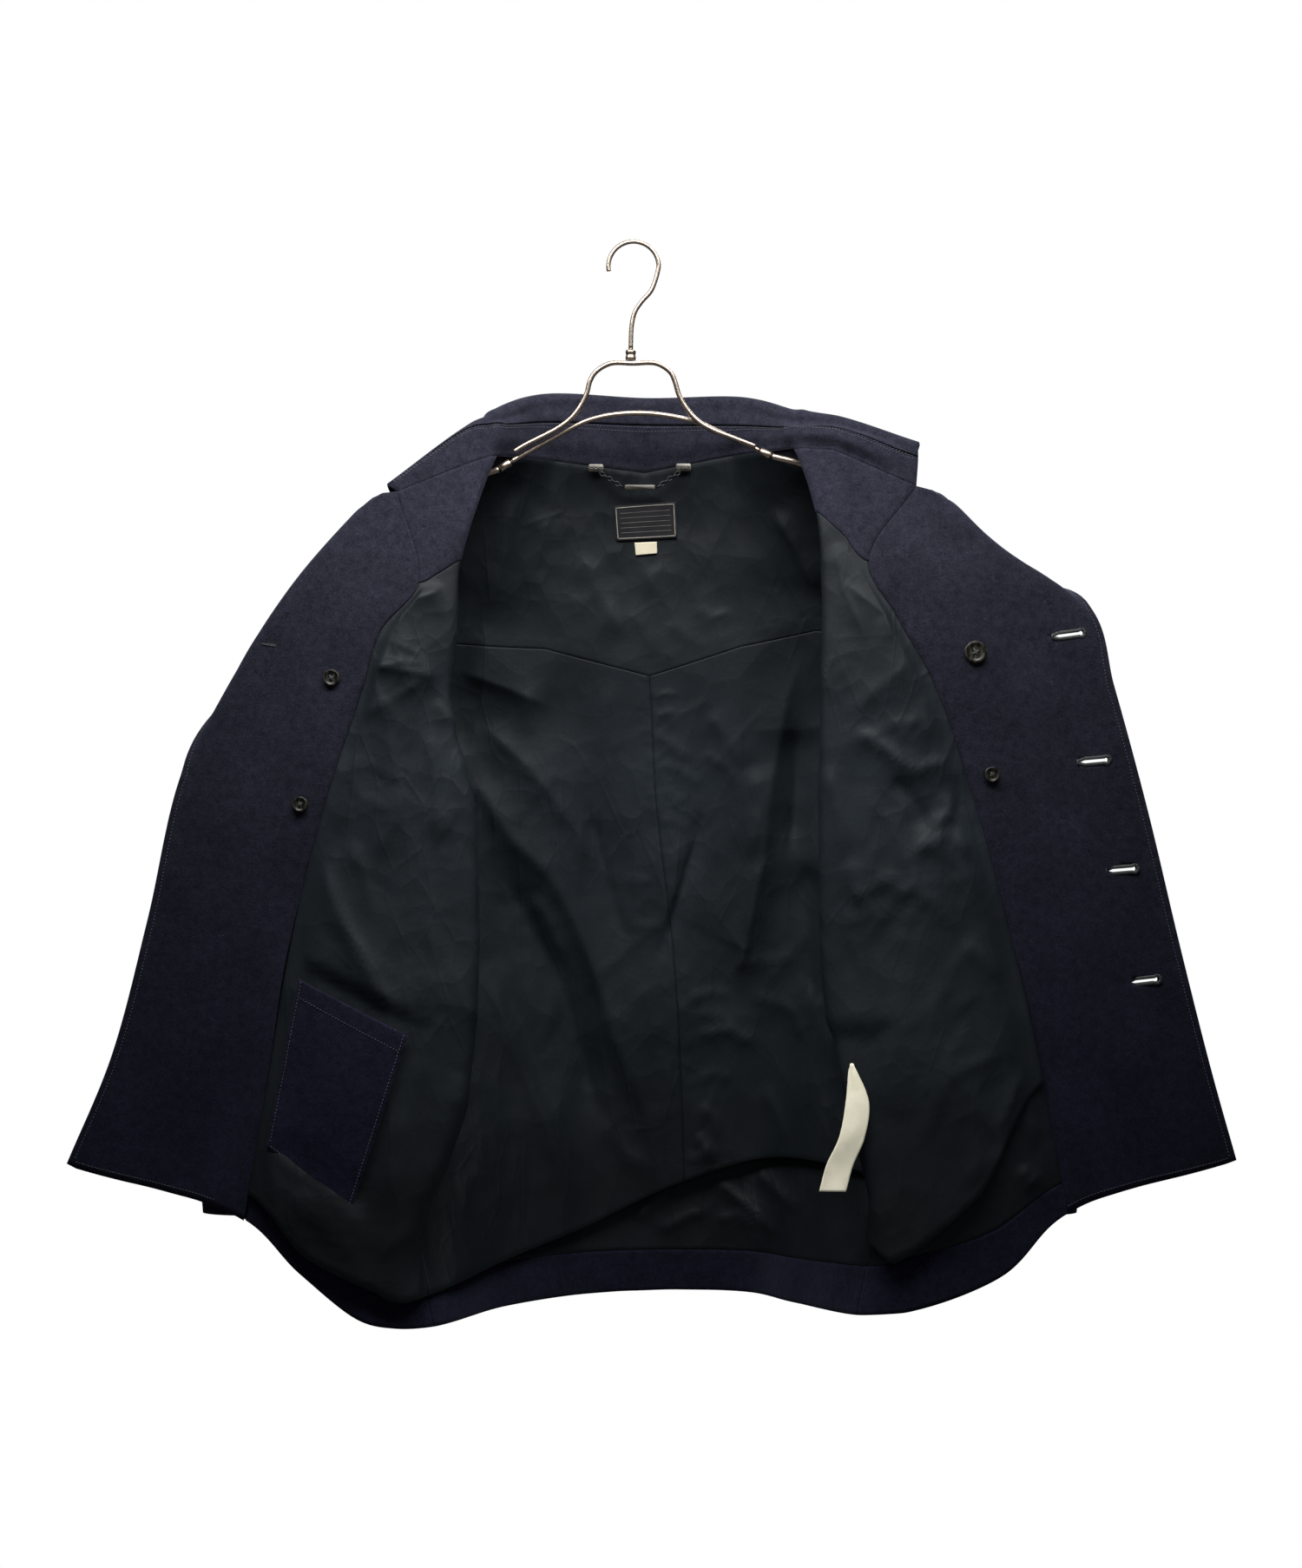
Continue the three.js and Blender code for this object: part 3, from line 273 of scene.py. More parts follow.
def inward(sheet, u, v):
    """Unit normal towards the lining."""
    place = sheet["place"]
    across = (place(sheet, np.minimum(u + STEP, sheet["u_max"]), v)
              - place(sheet, np.maximum(u - STEP, sheet["u_min"]), v))
    down = (place(sheet, u, np.minimum(v + STEP, sheet["v_max"]))
            - place(sheet, u, np.maximum(v - STEP, 0)))
    return unit(np.cross(across, down)) * sheet["hand"]


def seen(p):
    """Where a point shows in the photograph's plane, x and z in millimetres."""
    k = 1 - p[:, 1] / EYE_MM[1]
    return (EYE_MM[0] + (p[:, 0] - EYE_MM[0]) / k,
            EYE_MM[2] + (p[:, 2] - EYE_MM[2]) / k)


def guides(rows):
    return [np.array(r, float)[:, None] for r in rows]


def front_sheet(side, lapel, hand, waves):
    names = ("edge", "seam", "wing", "fold", "under", "side", "neck")
    return {"guides": guides(side[n] for n in names), "round": [0, 0, 0, -0.3, -1, -0.6, 0],
            "sides": [SIDE], "side_sign": -1, "lapel": lapel, "hand": hand, "waves": waves,
            "u_min": -1, "u_max": SIDE + 0.5, "v_max": 7, "place": front_point}


def back_sheet(waves):
    rows = [LEFT[n] for n in ("under", "side", "neck", "nape")] + [CENTRE_BACK]
    rows += [RIGHT[n] for n in ("nape", "neck", "side", "under")]
    return {"guides": guides(rows), "round": [0, 0.6, 1, 0.3, 0, 0.3, 1, 0.6, 0],
            "sides": [BACK_LEFT_SIDE, BACK_RIGHT_SIDE], "side_sign": 1, "lapel": None,
            "hand": -1, "waves": waves, "u_min": 0.5, "u_max": BACK_RIGHT_SIDE + 0.5,
            "v_max": 7, "place": front_point}


def crease_field(x, z, creases, crisp=2.0):
    """Sum of soft creases. Each is a line of x, z points, a rise in millimetres, and how
    wide it is on its left and right, seen along the line; it dies away at both ends."""
    total = np.zeros_like(x)
    for line, rise, left, right in creases:
        points = np.array(line, float)
        spans = np.linalg.norm(np.diff(points, axis=0), axis=1)
        whole, before = spans.sum(), 0.0
        best = np.full(x.shape, 1e9)
        sign, part = np.ones_like(x), np.zeros_like(x)
        for (ax, az), (bx, bz), span in zip(points, points[1:], spans):
            dx, dz = (bx - ax) / span, (bz - az) / span
            t = np.clip((x - ax) * dx + (z - az) * dz, 0, span)
            gx, gz = x - ax - t * dx, z - az - t * dz
            away = np.hypot(gx, gz)
            nearer = away < best
            best = np.where(nearer, away, best)
            sign = np.where(nearer, dx * gz - dz * gx, sign)
            part = np.where(nearer, (before + t) / whole, part)
            before += span
        width = np.where(sign > 0, left, right)
        ends = smooth(part / 0.22) * smooth((1 - part) / 0.3)
        total += rise * ends * np.exp(-((best / width) ** crisp))
    return total


def surface(sheet, u, v, offset):
    """Points at an offset from a sheet, with the sheet's own soft waves in them."""
    shape = np.broadcast(u, v).shape
    u, v = (np.broadcast_to(a, shape).astype(float).ravel() for a in (u, v))
    base = sheet["place"](sheet, u, v)
    x, z = seen(base)
    lift = sheet["waves"](u, v, x, z)
    if callable(offset):
        lift = lift + offset(u, v, x, z)
    else:
        lift = lift + np.broadcast_to(offset, shape).ravel()
    return (base + inward(sheet, u, v) * lift[:, None]).reshape(*shape, 3)


def level_at(sheet, u, heights):
    low, high = np.zeros(len(u)), np.full(len(u), 7.0)
    for _ in range(26):
        middle = (low + high) / 2
        above = front_point(sheet, u, middle)[:, 2] > heights
        low, high = np.where(above, middle, low), np.where(above, high, middle)
    return (low + high) / 2


def height_curve(heights, u):
    p = np.array([[i * 60, 0, z] for i, z in enumerate(heights)], float)
    return curve(p[:, None], u)[:, 2]


def locate(sheet, x, z, u, v):
    """The places on a sheet that are at x, z, by Newton steps from a guess."""
    x, z = np.asarray(x, float), np.asarray(z, float)
    u, v = np.full(x.shape, float(u)), np.full(x.shape, float(v))
    for _ in range(30):
        here = front_point(sheet, u, v)
        au = (front_point(sheet, u + STEP, v) - here) / STEP
        av = (front_point(sheet, u, v + STEP) - here) / STEP
        dx, dz = x - here[:, 0], z - here[:, 2]
        det = au[:, 0] * av[:, 2] - av[:, 0] * au[:, 2]
        su = (dx * av[:, 2] - av[:, 0] * dz) / det
        sv = (au[:, 0] * dz - dx * au[:, 2]) / det
        limit = 0.4 / np.maximum(0.4, np.maximum(abs(su), abs(sv)))
        u, v = u + su * limit, v + sv * limit
    return u, v


# ---------------------------------------------------------------- materials
def new_material(name):
    m = bpy.data.materials.new(name)
    m.use_nodes = True
    nodes = m.node_tree.nodes
    nodes.clear()
    out = nodes.new("ShaderNodeOutputMaterial")
    shader = nodes.new("ShaderNodeBsdfPrincipled")
    m.node_tree.links.new(shader.outputs["BSDF"], out.inputs["Surface"])
    return m, shader


class Tree:
    """Short ways to add nodes to one material."""

    def __init__(self, material, cloth=True):
        self.tree = material.node_tree
        kind = "ShaderNodeUVMap" if cloth else "ShaderNodeTexCoord"
        self.source = self.tree.nodes.new(kind)
        if cloth:
            self.source.uv_map = "cloth"
        self.where = self.source.outputs["UV" if cloth else "Object"]
        self.object = self.tree.nodes.new("ShaderNodeTexCoord").outputs["Object"]

    def link(self, a, b):
        self.tree.links.new(a, b)

    def scaled(self, scale, turn=0.0, source=None):
        node = self.tree.nodes.new("ShaderNodeMapping")
        node.inputs["Scale"].default_value = scale
        node.inputs["Rotation"].default_value = (0, 0, turn)
        self.link(source or self.where, node.inputs["Vector"])
        return node.outputs["Vector"]

    def noise(self, scale, detail=2.0, rough=0.5, source=None, distortion=0.0):
        node = self.tree.nodes.new("ShaderNodeTexNoise")
        node.inputs["Scale"].default_value = scale
        node.inputs["Detail"].default_value = detail
        node.inputs["Roughness"].default_value = rough
        node.inputs["Distortion"].default_value = distortion
        self.link(source or self.object, node.inputs["Vector"])
        return node.outputs["Fac"]

    def fade(self, colour, stops):
        """Painted shade from the neck to the hem: a tint by height, darker where less light falls
        on the cloth.
        """
        parts = self.tree.nodes.new("ShaderNodeSeparateXYZ")
        self.link(self.object, parts.inputs[0])
        below = self.math("MULTIPLY", parts.outputs["Z"], -1.0)
        return self.mix(1.0, colour, self.ramp(below, stops), "MULTIPLY")

    def facets(self, scale, vector):
        """Height of flat facets that meet in thin straight creases."""
        shift = self.tree.nodes.new("ShaderNodeTexNoise")
        shift.inputs["Scale"].default_value = scale * 0.6
        self.link(vector, shift.inputs["Vector"])
        bent = self.tree.nodes.new("ShaderNodeVectorMath")
        bent.operation = "MULTIPLY_ADD"
        bent.inputs[1].default_value = (0.9 / scale,) * 3
        self.link(shift.outputs["Color"], bent.inputs[0])
        self.link(vector, bent.inputs[2])
        cells = self.tree.nodes.new("ShaderNodeTexVoronoi")
        cells.inputs["Scale"].default_value = scale
        self.link(bent.outputs[0], cells.inputs["Vector"])
        return cells.outputs["Distance"]

    def creased(self, scale, vector, amount):
        """Thin straight ridges along the borders of irregular cells."""
        cells = self.tree.nodes.new("ShaderNodeTexVoronoi")
        cells.feature = "DISTANCE_TO_EDGE"
        cells.inputs["Scale"].default_value = scale
        self.link(vector, cells.inputs["Vector"])
        line = self.ramp(cells.outputs["Distance"], [(0.0, 1.0), (0.05, 0.3), (0.14, 0.0)])
        return self.math("MULTIPLY", line, amount)

    def wave(self, scale, source, distortion=0.0, detail=1.0):
        node = self.tree.nodes.new("ShaderNodeTexWave")
        node.inputs["Scale"].default_value = scale
        node.inputs["Distortion"].default_value = distortion
        node.inputs["Detail"].default_value = detail
        self.link(source, node.inputs["Vector"])
        return node.outputs["Fac"]

    def ramp(self, fac, stops):
        node = self.tree.nodes.new("ShaderNodeValToRGB")
        items = node.color_ramp.elements
        while len(items) < len(stops):
            items.new(0.5)
        for item, (at, colour) in zip(items, stops):
            item.position = at
            value = colour if hasattr(colour, "__len__") else (colour,) * 3
            item.color = (*value, 1)
        self.link(fac, node.inputs["Fac"])
        return node.outputs["Color"]

    def mix(self, fac, a, b, mode="MIX"):
        node = self.tree.nodes.new("ShaderNodeMix")
        node.data_type = "RGBA"
        node.blend_type = mode
        for key, value in ((0, fac), (6, a), (7, b)):
            socket = node.inputs[key]
            if isinstance(value, bpy.types.NodeSocket):
                self.link(value, socket)
            elif key == 0:
                socket.default_value = value
            else:
                socket.default_value = (*value, 1)
        return node.outputs[2]

    def math(self, kind, a, b=0.5):
        node = self.tree.nodes.new("ShaderNodeMath")
        node.operation = kind
        for socket, value in zip(node.inputs, (a, b)):
            if isinstance(value, bpy.types.NodeSocket):
                self.link(value, socket)
            else:
                socket.default_value = value
        return node.outputs[0]

    def bump(self, height, strength, distance, normal=None):
        node = self.tree.nodes.new("ShaderNodeBump")
        node.inputs["Strength"].default_value = strength
        node.inputs["Distance"].default_value = distance
        self.link(height, node.inputs["Height"])
        if normal:
            self.link(normal, node.inputs["Normal"])
        return node.outputs["Normal"]


def wool_material(name, dark, light, fleck=0.55):
    """Fulled wool: matted fibres, faint twill, soft blotches and a little lint."""
    m, shader = new_material(name)
    t = Tree(m)
    felt = t.noise(620, 4, 0.7)
    mat = t.noise(150, 3, 0.6)
    blotch = t.noise(24, 3, 0.55)
    twill = t.wave(230, t.scaled((1, 1, 1), 0.9), 7.0, 2.0)
    mottle = t.ramp(t.math("ADD", t.math("MULTIPLY", felt, 0.65), t.math("MULTIPLY", mat, 0.35)),
                    [(0.36, 0.0), (0.66, 1.0)])
    colour = t.mix(mottle, dark, light)
    shade = t.ramp(blotch, [(0.25, 0.80), (0.75, 1.16)])
    colour = t.mix(1.0, colour, shade, "MULTIPLY")
    lint = t.ramp(t.noise(330, 1, 0.3, t.scaled((1, 4, 1), 0.5)), [(0.76, 0.0), (0.80, 1.0)])
    colour = t.mix(t.math("MULTIPLY", lint, fleck), colour, (0.07, 0.07, 0.085))
    # Painted shade: the wool grows darker and bluer towards the hem, where less light falls
    colour = t.fade(colour, [(0.28, 1.0), (0.48, (0.86, 0.86, 0.90)), (0.78, (0.56, 0.56, 0.78))])
    t.link(colour, shader.inputs["Base Color"])
    shader.inputs["Roughness"].default_value = 0.95
    shader.inputs["Specular IOR Level"].default_value = 0.06
    shader.inputs["Sheen Weight"].default_value = 0.05
    shader.inputs["Sheen Roughness"].default_value = 0.5
    shader.inputs["Sheen Tint"].default_value = (0.6, 0.66, 0.95, 1)
    pile = t.bump(felt, 0.55, 0.0008)
    pile = t.bump(mat, 0.35, 0.0014, pile)
    pile = t.bump(twill, 0.15, 0.0003, pile)
    t.link(t.bump(blotch, 0.35, 0.0028, pile), shader.inputs["Normal"])
    return m


def lining_material():
    """Plain-weave cotton with worn-in crinkles: small flat facets between thin creases."""
    m, shader = new_material("cotton_lining")
    t = Tree(m)
    warp = t.wave(520, t.scaled((1, 0.02, 1)), 1.5)
    weft = t.wave(520, t.scaled((0.02, 1, 1), math.pi / 2), 1.5)
    weave = t.math("ADD", warp, weft)
    cloud = t.noise(14, 4, 0.6)
    large = t.facets(17, t.scaled((1.0, 1.0, 0.55), 0.0, t.object))
    small = t.facets(46, t.scaled((1.0, 1.0, 0.75), 0.0, t.object))
    patchy = t.ramp(t.noise(8, 2, 0.5), [(0.38, 0.1), (0.66, 1.0)])
    small = t.math("MULTIPLY", small, patchy)
    fine = t.noise(240, 3, 0.6)
    colour = t.ramp(cloud, [(0.25, (0.0074, 0.0104, 0.0138)), (0.8, (0.0124, 0.0172, 0.0220))])
    # Painted shade: the lining is darker at the yoke under the collar and towards the hem, lightest
    # at mid height
    colour = t.fade(colour, [(0.20, 0.45), (0.34, 0.62), (0.48, 0.96), (0.66, 0.84), (0.84, 0.45)])
    t.link(colour, shader.inputs["Base Color"])
    t.link(t.ramp(cloud, [(0.2, 0.50), (0.85, 0.64)]), shader.inputs["Roughness"])
    shader.inputs["Specular IOR Level"].default_value = 0.13
    shader.inputs["Sheen Weight"].default_value = 0.008
    shader.inputs["Sheen Roughness"].default_value = 0.4
    shader.inputs["Sheen Tint"].default_value = (0.6, 0.85, 0.95, 1)
    n = t.bump(weave, 0.15, 0.0002)
    n = t.bump(fine, 0.16, 0.0012, n)
    n = t.bump(t.creased(30, t.scaled((1.0, 1.0, 0.4), 0.0, t.object), patchy), 0.42, 0.0010, n)
    n = t.bump(small, 0.55, 0.0036, n)
    t.link(t.bump(large, 0.6, 0.0075, n), shader.inputs["Normal"])
    return m


def metal_material(name, colour, roughness):
    m, shader = new_material(name)
    t = Tree(m, cloth=False)
    cloud = t.noise(160, 3, 0.6)
    shade = t.ramp(cloud, [(0.3, tuple(c * 0.86 for c in colour)), (0.75, colour)])
    t.link(shade, shader.inputs["Base Color"])
    shader.inputs["Metallic"].default_value = 1.0
    rough = t.ramp(t.noise(700, 2, 0.5), [(0.3, roughness * 0.8), (0.8, roughness * 1.3)])
    t.link(rough, shader.inputs["Roughness"])
    t.link(t.bump(cloud, 0.08, 0.0003), shader.inputs["Normal"])
    return m


def horn_material():
    m, shader = new_material("button_horn")
    t = Tree(m, cloth=False)
    vein = t.wave(70, t.object, 9.0, 3.0)
    colour = t.ramp(vein, [(0.1, (0.004, 0.004, 0.0035)), (0.9, (0.019, 0.018, 0.013))])
    shader.inputs["Specular IOR Level"].default_value = 0.2
    t.link(colour, shader.inputs["Base Color"])
    t.link(t.ramp(vein, [(0.0, 0.3), (1.0, 0.42)]), shader.inputs["Roughness"])
    t.link(t.bump(t.noise(500, 2), 0.1, 0.0003), shader.inputs["Normal"])
    return m


def thread_material(name, dark, light):
    m, shader = new_material(name)
    t = Tree(m, cloth=False)
    colour = t.mix(t.noise(1600, 1), dark, light)
    t.link(colour, shader.inputs["Base Color"])
    shader.inputs["Roughness"].default_value = 0.6
    shader.inputs["Sheen Weight"].default_value = 0.1
    t.link(t.bump(t.noise(2600, 1), 0.3, 0.0003), shader.inputs["Normal"])
    return m


def satin_material(name, dark, light, roughness=0.42):
    m, shader = new_material(name)
    t = Tree(m)
    rib = t.wave(420, t.scaled((0.02, 1, 1), math.pi / 2), 0.6)
    cloud = t.noise(60, 3)
    colour = t.mix(t.ramp(cloud, [(0.3, 0.0), (0.7, 1.0)]), dark, light)
    t.link(colour, shader.inputs["Base Color"])
    shader.inputs["Roughness"].default_value = roughness
    shader.inputs["Specular IOR Level"].default_value = 0.2
    t.link(t.bump(rib, 0.25, 0.0003), shader.inputs["Normal"])
    return m


WOOL_DARK, WOOL_LIGHT = (0.0052, 0.0052, 0.0092), (0.0190, 0.0190, 0.0300)
M_WOOL = wool_material("navy_melton", WOOL_DARK, WOOL_LIGHT)
M_POCKET = wool_material("pocket_melton", (0.0050, 0.0052, 0.0105), (0.0185, 0.0190, 0.0330), 0.9)
M_LINING = lining_material()
M_STEEL = metal_material("champagne_nickel", (0.37, 0.305, 0.25), 0.36)
M_CHAIN = metal_material("gunmetal", (0.045, 0.048, 0.052), 0.42)
M_PLATE = metal_material("worn_steel", (0.105, 0.10, 0.092), 0.42)
M_HORN = horn_material()
M_THREAD = thread_material("navy_thread", (0.014, 0.015, 0.026), (0.034, 0.035, 0.052))
M_DARK_THREAD = thread_material("black_thread", (0.010, 0.012, 0.013), (0.024, 0.027, 0.028))
M_SILVER = thread_material("silver_thread", (0.20, 0.185, 0.165), (0.42, 0.39, 0.35))
M_LABEL = satin_material("woven_black", (0.0035, 0.0035, 0.0045), (0.008, 0.008, 0.010), 0.8)
M_TAB = satin_material("cream_tab", (0.44, 0.40, 0.30), (0.55, 0.51, 0.40), 0.7)
M_SATIN = satin_material("cream_satin", (0.72, 0.68, 0.52), (0.88, 0.85, 0.69), 0.38)


# ---------------------------------------------------------------- meshes
def finish_mesh(name, points, faces, material, uv=None):
    mesh = bpy.data.meshes.new(name)
    mesh.from_pydata((np.asarray(points) / 1000).tolist(), [], faces)
    mesh.update()
    if uv is not None:
        layer = mesh.uv_layers.new(name="cloth")
        loops = np.zeros(len(mesh.loops), int)
        mesh.loops.foreach_get("vertex_index", loops)
        layer.data.foreach_set("uv", (np.asarray(uv) / 1000)[loops].ravel())
    mesh.materials.append(material)
    mesh.polygons.foreach_set("use_smooth", [True] * len(mesh.polygons))
    piece = bpy.data.objects.new(name, mesh)
    bpy.context.collection.objects.link(piece)
    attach(piece, "root")
    return piece


def volume(points, faces):
    total = 0.0
    for f in faces:
        for k in range(1, len(f) - 1):
            total += np.dot(points[f[0]], np.cross(points[f[k]], points[f[k + 1]]))
    return total


def turned_out(points, faces):
    p = np.asarray(points, float)
    quads = np.array([f for f in faces if len(f) == 4])
    total = 0.0
    if len(quads):
        a, b, c, d = (p[quads[:, k]] for k in range(4))
        total += (a * np.cross(b, c)).sum() + (a * np.cross(c, d)).sum()
    total += volume(p, [f for f in faces if len(f) != 4])
    return faces if total > 0 else [tuple(reversed(f)) for f in faces]


def shell(name, high, low, material, slot, replaces, held="hung", rests_on=(), part=1.0,
          rounded=0.5, declare=True):
    """A sheet of cloth between two grids of points, with soft cut edges."""
    nu, nv = high.shape[:2]
    middle = (high + low) / 2
    along_u = np.linalg.norm(np.diff(middle, axis=0), axis=2)
    along_v = np.linalg.norm(np.diff(middle, axis=1), axis=2)
    uv = np.zeros((nu, nv, 2))
    uv[1:, :, 0] = np.cumsum(along_u, axis=0)
    uv[:, :, 0] -= uv[nu // 2, :, 0]
    uv[:, 1:, 1] = np.cumsum(along_v, axis=1)

    index = np.arange(nu * nv).reshape(nu, nv)
    ring = np.concatenate([index[:-1, 0], index[-1, :-1], index[:0:-1, -1], index[0, :0:-1]])
    high, low = high.copy(), low.copy()
    for layer in (high, low):
        for border, beside in (((0,), (1,)), ((-1,), (-2,))):
            layer[border[0]] += unit(layer[beside[0]] - layer[border[0]]) * rounded
        for border, beside in ((0, 1), (-1, -2)):
            layer[:, border] += unit(layer[:, beside] - layer[:, border]) * rounded
    points = np.concatenate([high.reshape(-1, 3), low.reshape(-1, 3),
                             middle.reshape(-1, 3)[ring]])
    size, rim = nu * nv, 2 * nu * nv
    a, b, c, d = (index[:-1, :-1].ravel(), index[1:, :-1].ravel(),
                  index[1:, 1:].ravel(), index[:-1, 1:].ravel())
    faces = list(zip(a.tolist(), b.tolist(), c.tolist(), d.tolist()))
    faces += list(zip((a + size).tolist(), (d + size).tolist(),
                      (c + size).tolist(), (b + size).tolist()))
    n = len(ring)
    for k in range(n):
        h1, h2 = int(ring[k]), int(ring[(k + 1) % n])
        m1, m2 = rim + k, rim + (k + 1) % n
        faces.append((h2, h1, m1, m2))
        faces.append((m2, m1, h1 + size, h2 + size))
    all_uv = np.concatenate([uv.reshape(-1, 2), uv.reshape(-1, 2), uv.reshape(-1, 2)[ring]])
    piece = finish_mesh(name, points, turned_out(points, faces), material, all_uv)
    if replaces:
        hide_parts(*replaces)
    if declare:
        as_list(rests_on)
    return piece


def tube(points, radius, sides=20, flat=1.0):
    """Round rod along points, closed at both ends; radius may be a list."""
    p = np.asarray(points, float)
    r = np.broadcast_to(radius, len(p))
    tangent = unit(np.gradient(p, axis=0))
    side = np.cross(tangent[0], [0.31, 0.87, 0.39])
    rings = []
    for k in range(len(p)):
        side = unit(side - tangent[k] * np.dot(side, tangent[k]))
        other = np.cross(tangent[k], side)
        angle = np.linspace(0, 2 * np.pi, sides, endpoint=False)[:, None]
        rings.append(p[k] + r[k] * (np.cos(angle) * side + np.sin(angle) * other * flat))
    points = np.concatenate(rings + [p[:1], p[-1:]])
    faces, n = [], len(p)
    for i in range(n - 1):
        for k in range(sides):
            j = (k + 1) % sides
            faces.append((i * sides + k, i * sides + j, (i + 1) * sides + j, (i + 1) * sides + k))
    for k in range(sides):
        j = (k + 1) % sides
        faces.append((n * sides, j, k))
        faces.append((n * sides + 1, (n - 1) * sides + k, (n - 1) * sides + j))
    return points, faces


def joined(parts):
    points, faces, at = [], [], 0
    for p, f in parts:
        points.append(np.asarray(p, float))
        faces += [tuple(i + at for i in face) for face in f]
        at += len(p)
    return np.concatenate(points), faces


def solid(name, parts, material, replaces=()):
    points, faces = joined([(p, turned_out(p, f)) for p, f in parts])
    piece = finish_mesh(name, points, faces, material)
    if replaces:
        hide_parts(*replaces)
    return piece


def lathe(profile, centre, axis, sides=40, facing=None):
    """Turned solid; profile rows are radius and height along axis."""
    axis = unit(np.asarray(axis, float))
    side = unit(np.cross(axis, facing if facing is not None else [0.2, 0.3, 0.93]))
    other = np.cross(axis, side)
    rows = np.array(profile, float)
    angle = np.linspace(0, 2 * np.pi, sides, endpoint=False)
    round_ = np.cos(angle)[:, None] * side + np.sin(angle)[:, None] * other
    points = [centre + r * round_ + h * axis for r, h in rows]
    points = np.concatenate(points + [[centre + rows[0][1] * axis], [centre + rows[-1][1] * axis]])
    faces, n = [], len(rows)
    for i in range(n - 1):
        for k in range(sides):
            j = (k + 1) % sides
            faces.append((i * sides + k, i * sides + j, (i + 1) * sides + j, (i + 1) * sides + k))
    for k in range(sides):
        j = (k + 1) % sides
        faces.append((n * sides, j, k))
        faces.append((n * sides + 1, (n - 1) * sides + k, (n - 1) * sides + j))
    return points, faces


def stitches(path, normals, pitch=3.0, length=2.2, radius=0.32):
    """Small sewn stitches laid along a path that lies on cloth."""
    path = np.asarray(path, float)
    gaps = np.linalg.norm(np.diff(path, axis=0), axis=1)
    at = np.concatenate([[0], np.cumsum(gaps)])
    starts = np.arange(pitch / 2, at[-1] - length, pitch)
    if not len(starts):
        return []
    pick = lambda values, s: np.stack([np.interp(s, at, values[:, k]) for k in range(3)], 1)
    parts = []
    for a, b, n in zip(pick(path, starts), pick(path, starts + length), pick(normals, starts)):
        middle = (a + b) / 2 + n * radius * 0.75
        rod = np.array([a - n * radius * 0.9, a * 0.72 + b * 0.28 + n * radius * 0.5, middle,
                        a * 0.28 + b * 0.72 + n * radius * 0.5, b - n * radius * 0.9])
        parts.append(tube(rod, [radius * 0.5, radius, radius, radius, radius * 0.5], 6))
    return parts


def sewn(sheet, u, v, offset, **size):
    """Stitches along places of a sheet at an offset from it."""
    u, v = np.asarray(u, float), np.asarray(v, float)
    path = surface(sheet, u, v, offset)
    normals = inward(sheet, u, v)
    if not callable(offset) and np.mean(offset) < 0:
        normals = -normals
    return stitches(path, normals, **size)


# ---------------------------------------------------------------- folds of the wool
# line of x, z points seen from the front, rise towards the viewer, width left and right
LEFT_WOOL_FOLDS = [
    ([(-262, -400), (-262, -520), (-280, -640), (-300, -760)], 3.2, 20, 26),
    ([(-330, -430), (-352, -560), (-382, -690), (-420, -800)], 3.0, 34, 30),
    ([(-300, -520), (-318, -640), (-352, -760), (-384, -850)], -3.4, 24, 20),
    ([(-236, -262), (-262, -330), (-296, -420)], -2.4, 26, 22),
    ([(-398, -560), (-424, -660), (-452, -790)], -2.6, 20, 22),
]
RIGHT_WOOL_FOLDS = [
    ([(279, -232), (304, -280), (332, -335), (366, -404)], -3.6, 22, 26),
    ([(240, -250), (268, -310), (300, -372), (322, -450)], 2.6, 22, 26),
    ([(352, -480), (384, -590), (412, -700), (452, -820)], 3.0, 28, 30),
    ([(322, -500), (356, -610), (386, -720), (412, -820)], -3.0, 22, 24),
    ([(430, -440), (456, -560), (482, -690), (510, -800)], -2.2, 18, 24),
]
BACK_WOOL_FOLDS = [
    ([(-118, -300), (-96, -450), (-84, -640), (-70, -900)], 4.0, 30, 36),
    ([(-40, -420), (-26, -600), (-10, -800), (-4, -925)], -3.4, 26, 30),
    ([(90, -310), (84, -480), (96, -660), (98, -900)], 3.6, 28, 34),
    ([(150, -380), (148, -560), (140, -760), (136, -910)], -3.4, 26, 26),
    ([(-176, -420), (-150, -600), (-136, -800), (-126, -920)], 3.0, 26, 28),
]


def waves_of(folds, free):
    """Soft folds of the wool, with small uneven puckers along the hem."""
    def field(u, v, x, z):
        lift = crease_field(x, z, folds) * smooth(v / 1.2) * free(u, v)
        pucker = np.sin(x / 8.5 + 1.4 * np.sin(x / 31)) + 0.6 * np.sin(x / 19 + 2.1)
        return lift + 0.75 * pucker * smooth((v - 6.45) / 0.5) * smooth(u / 0.6 + 0.2)
    return field


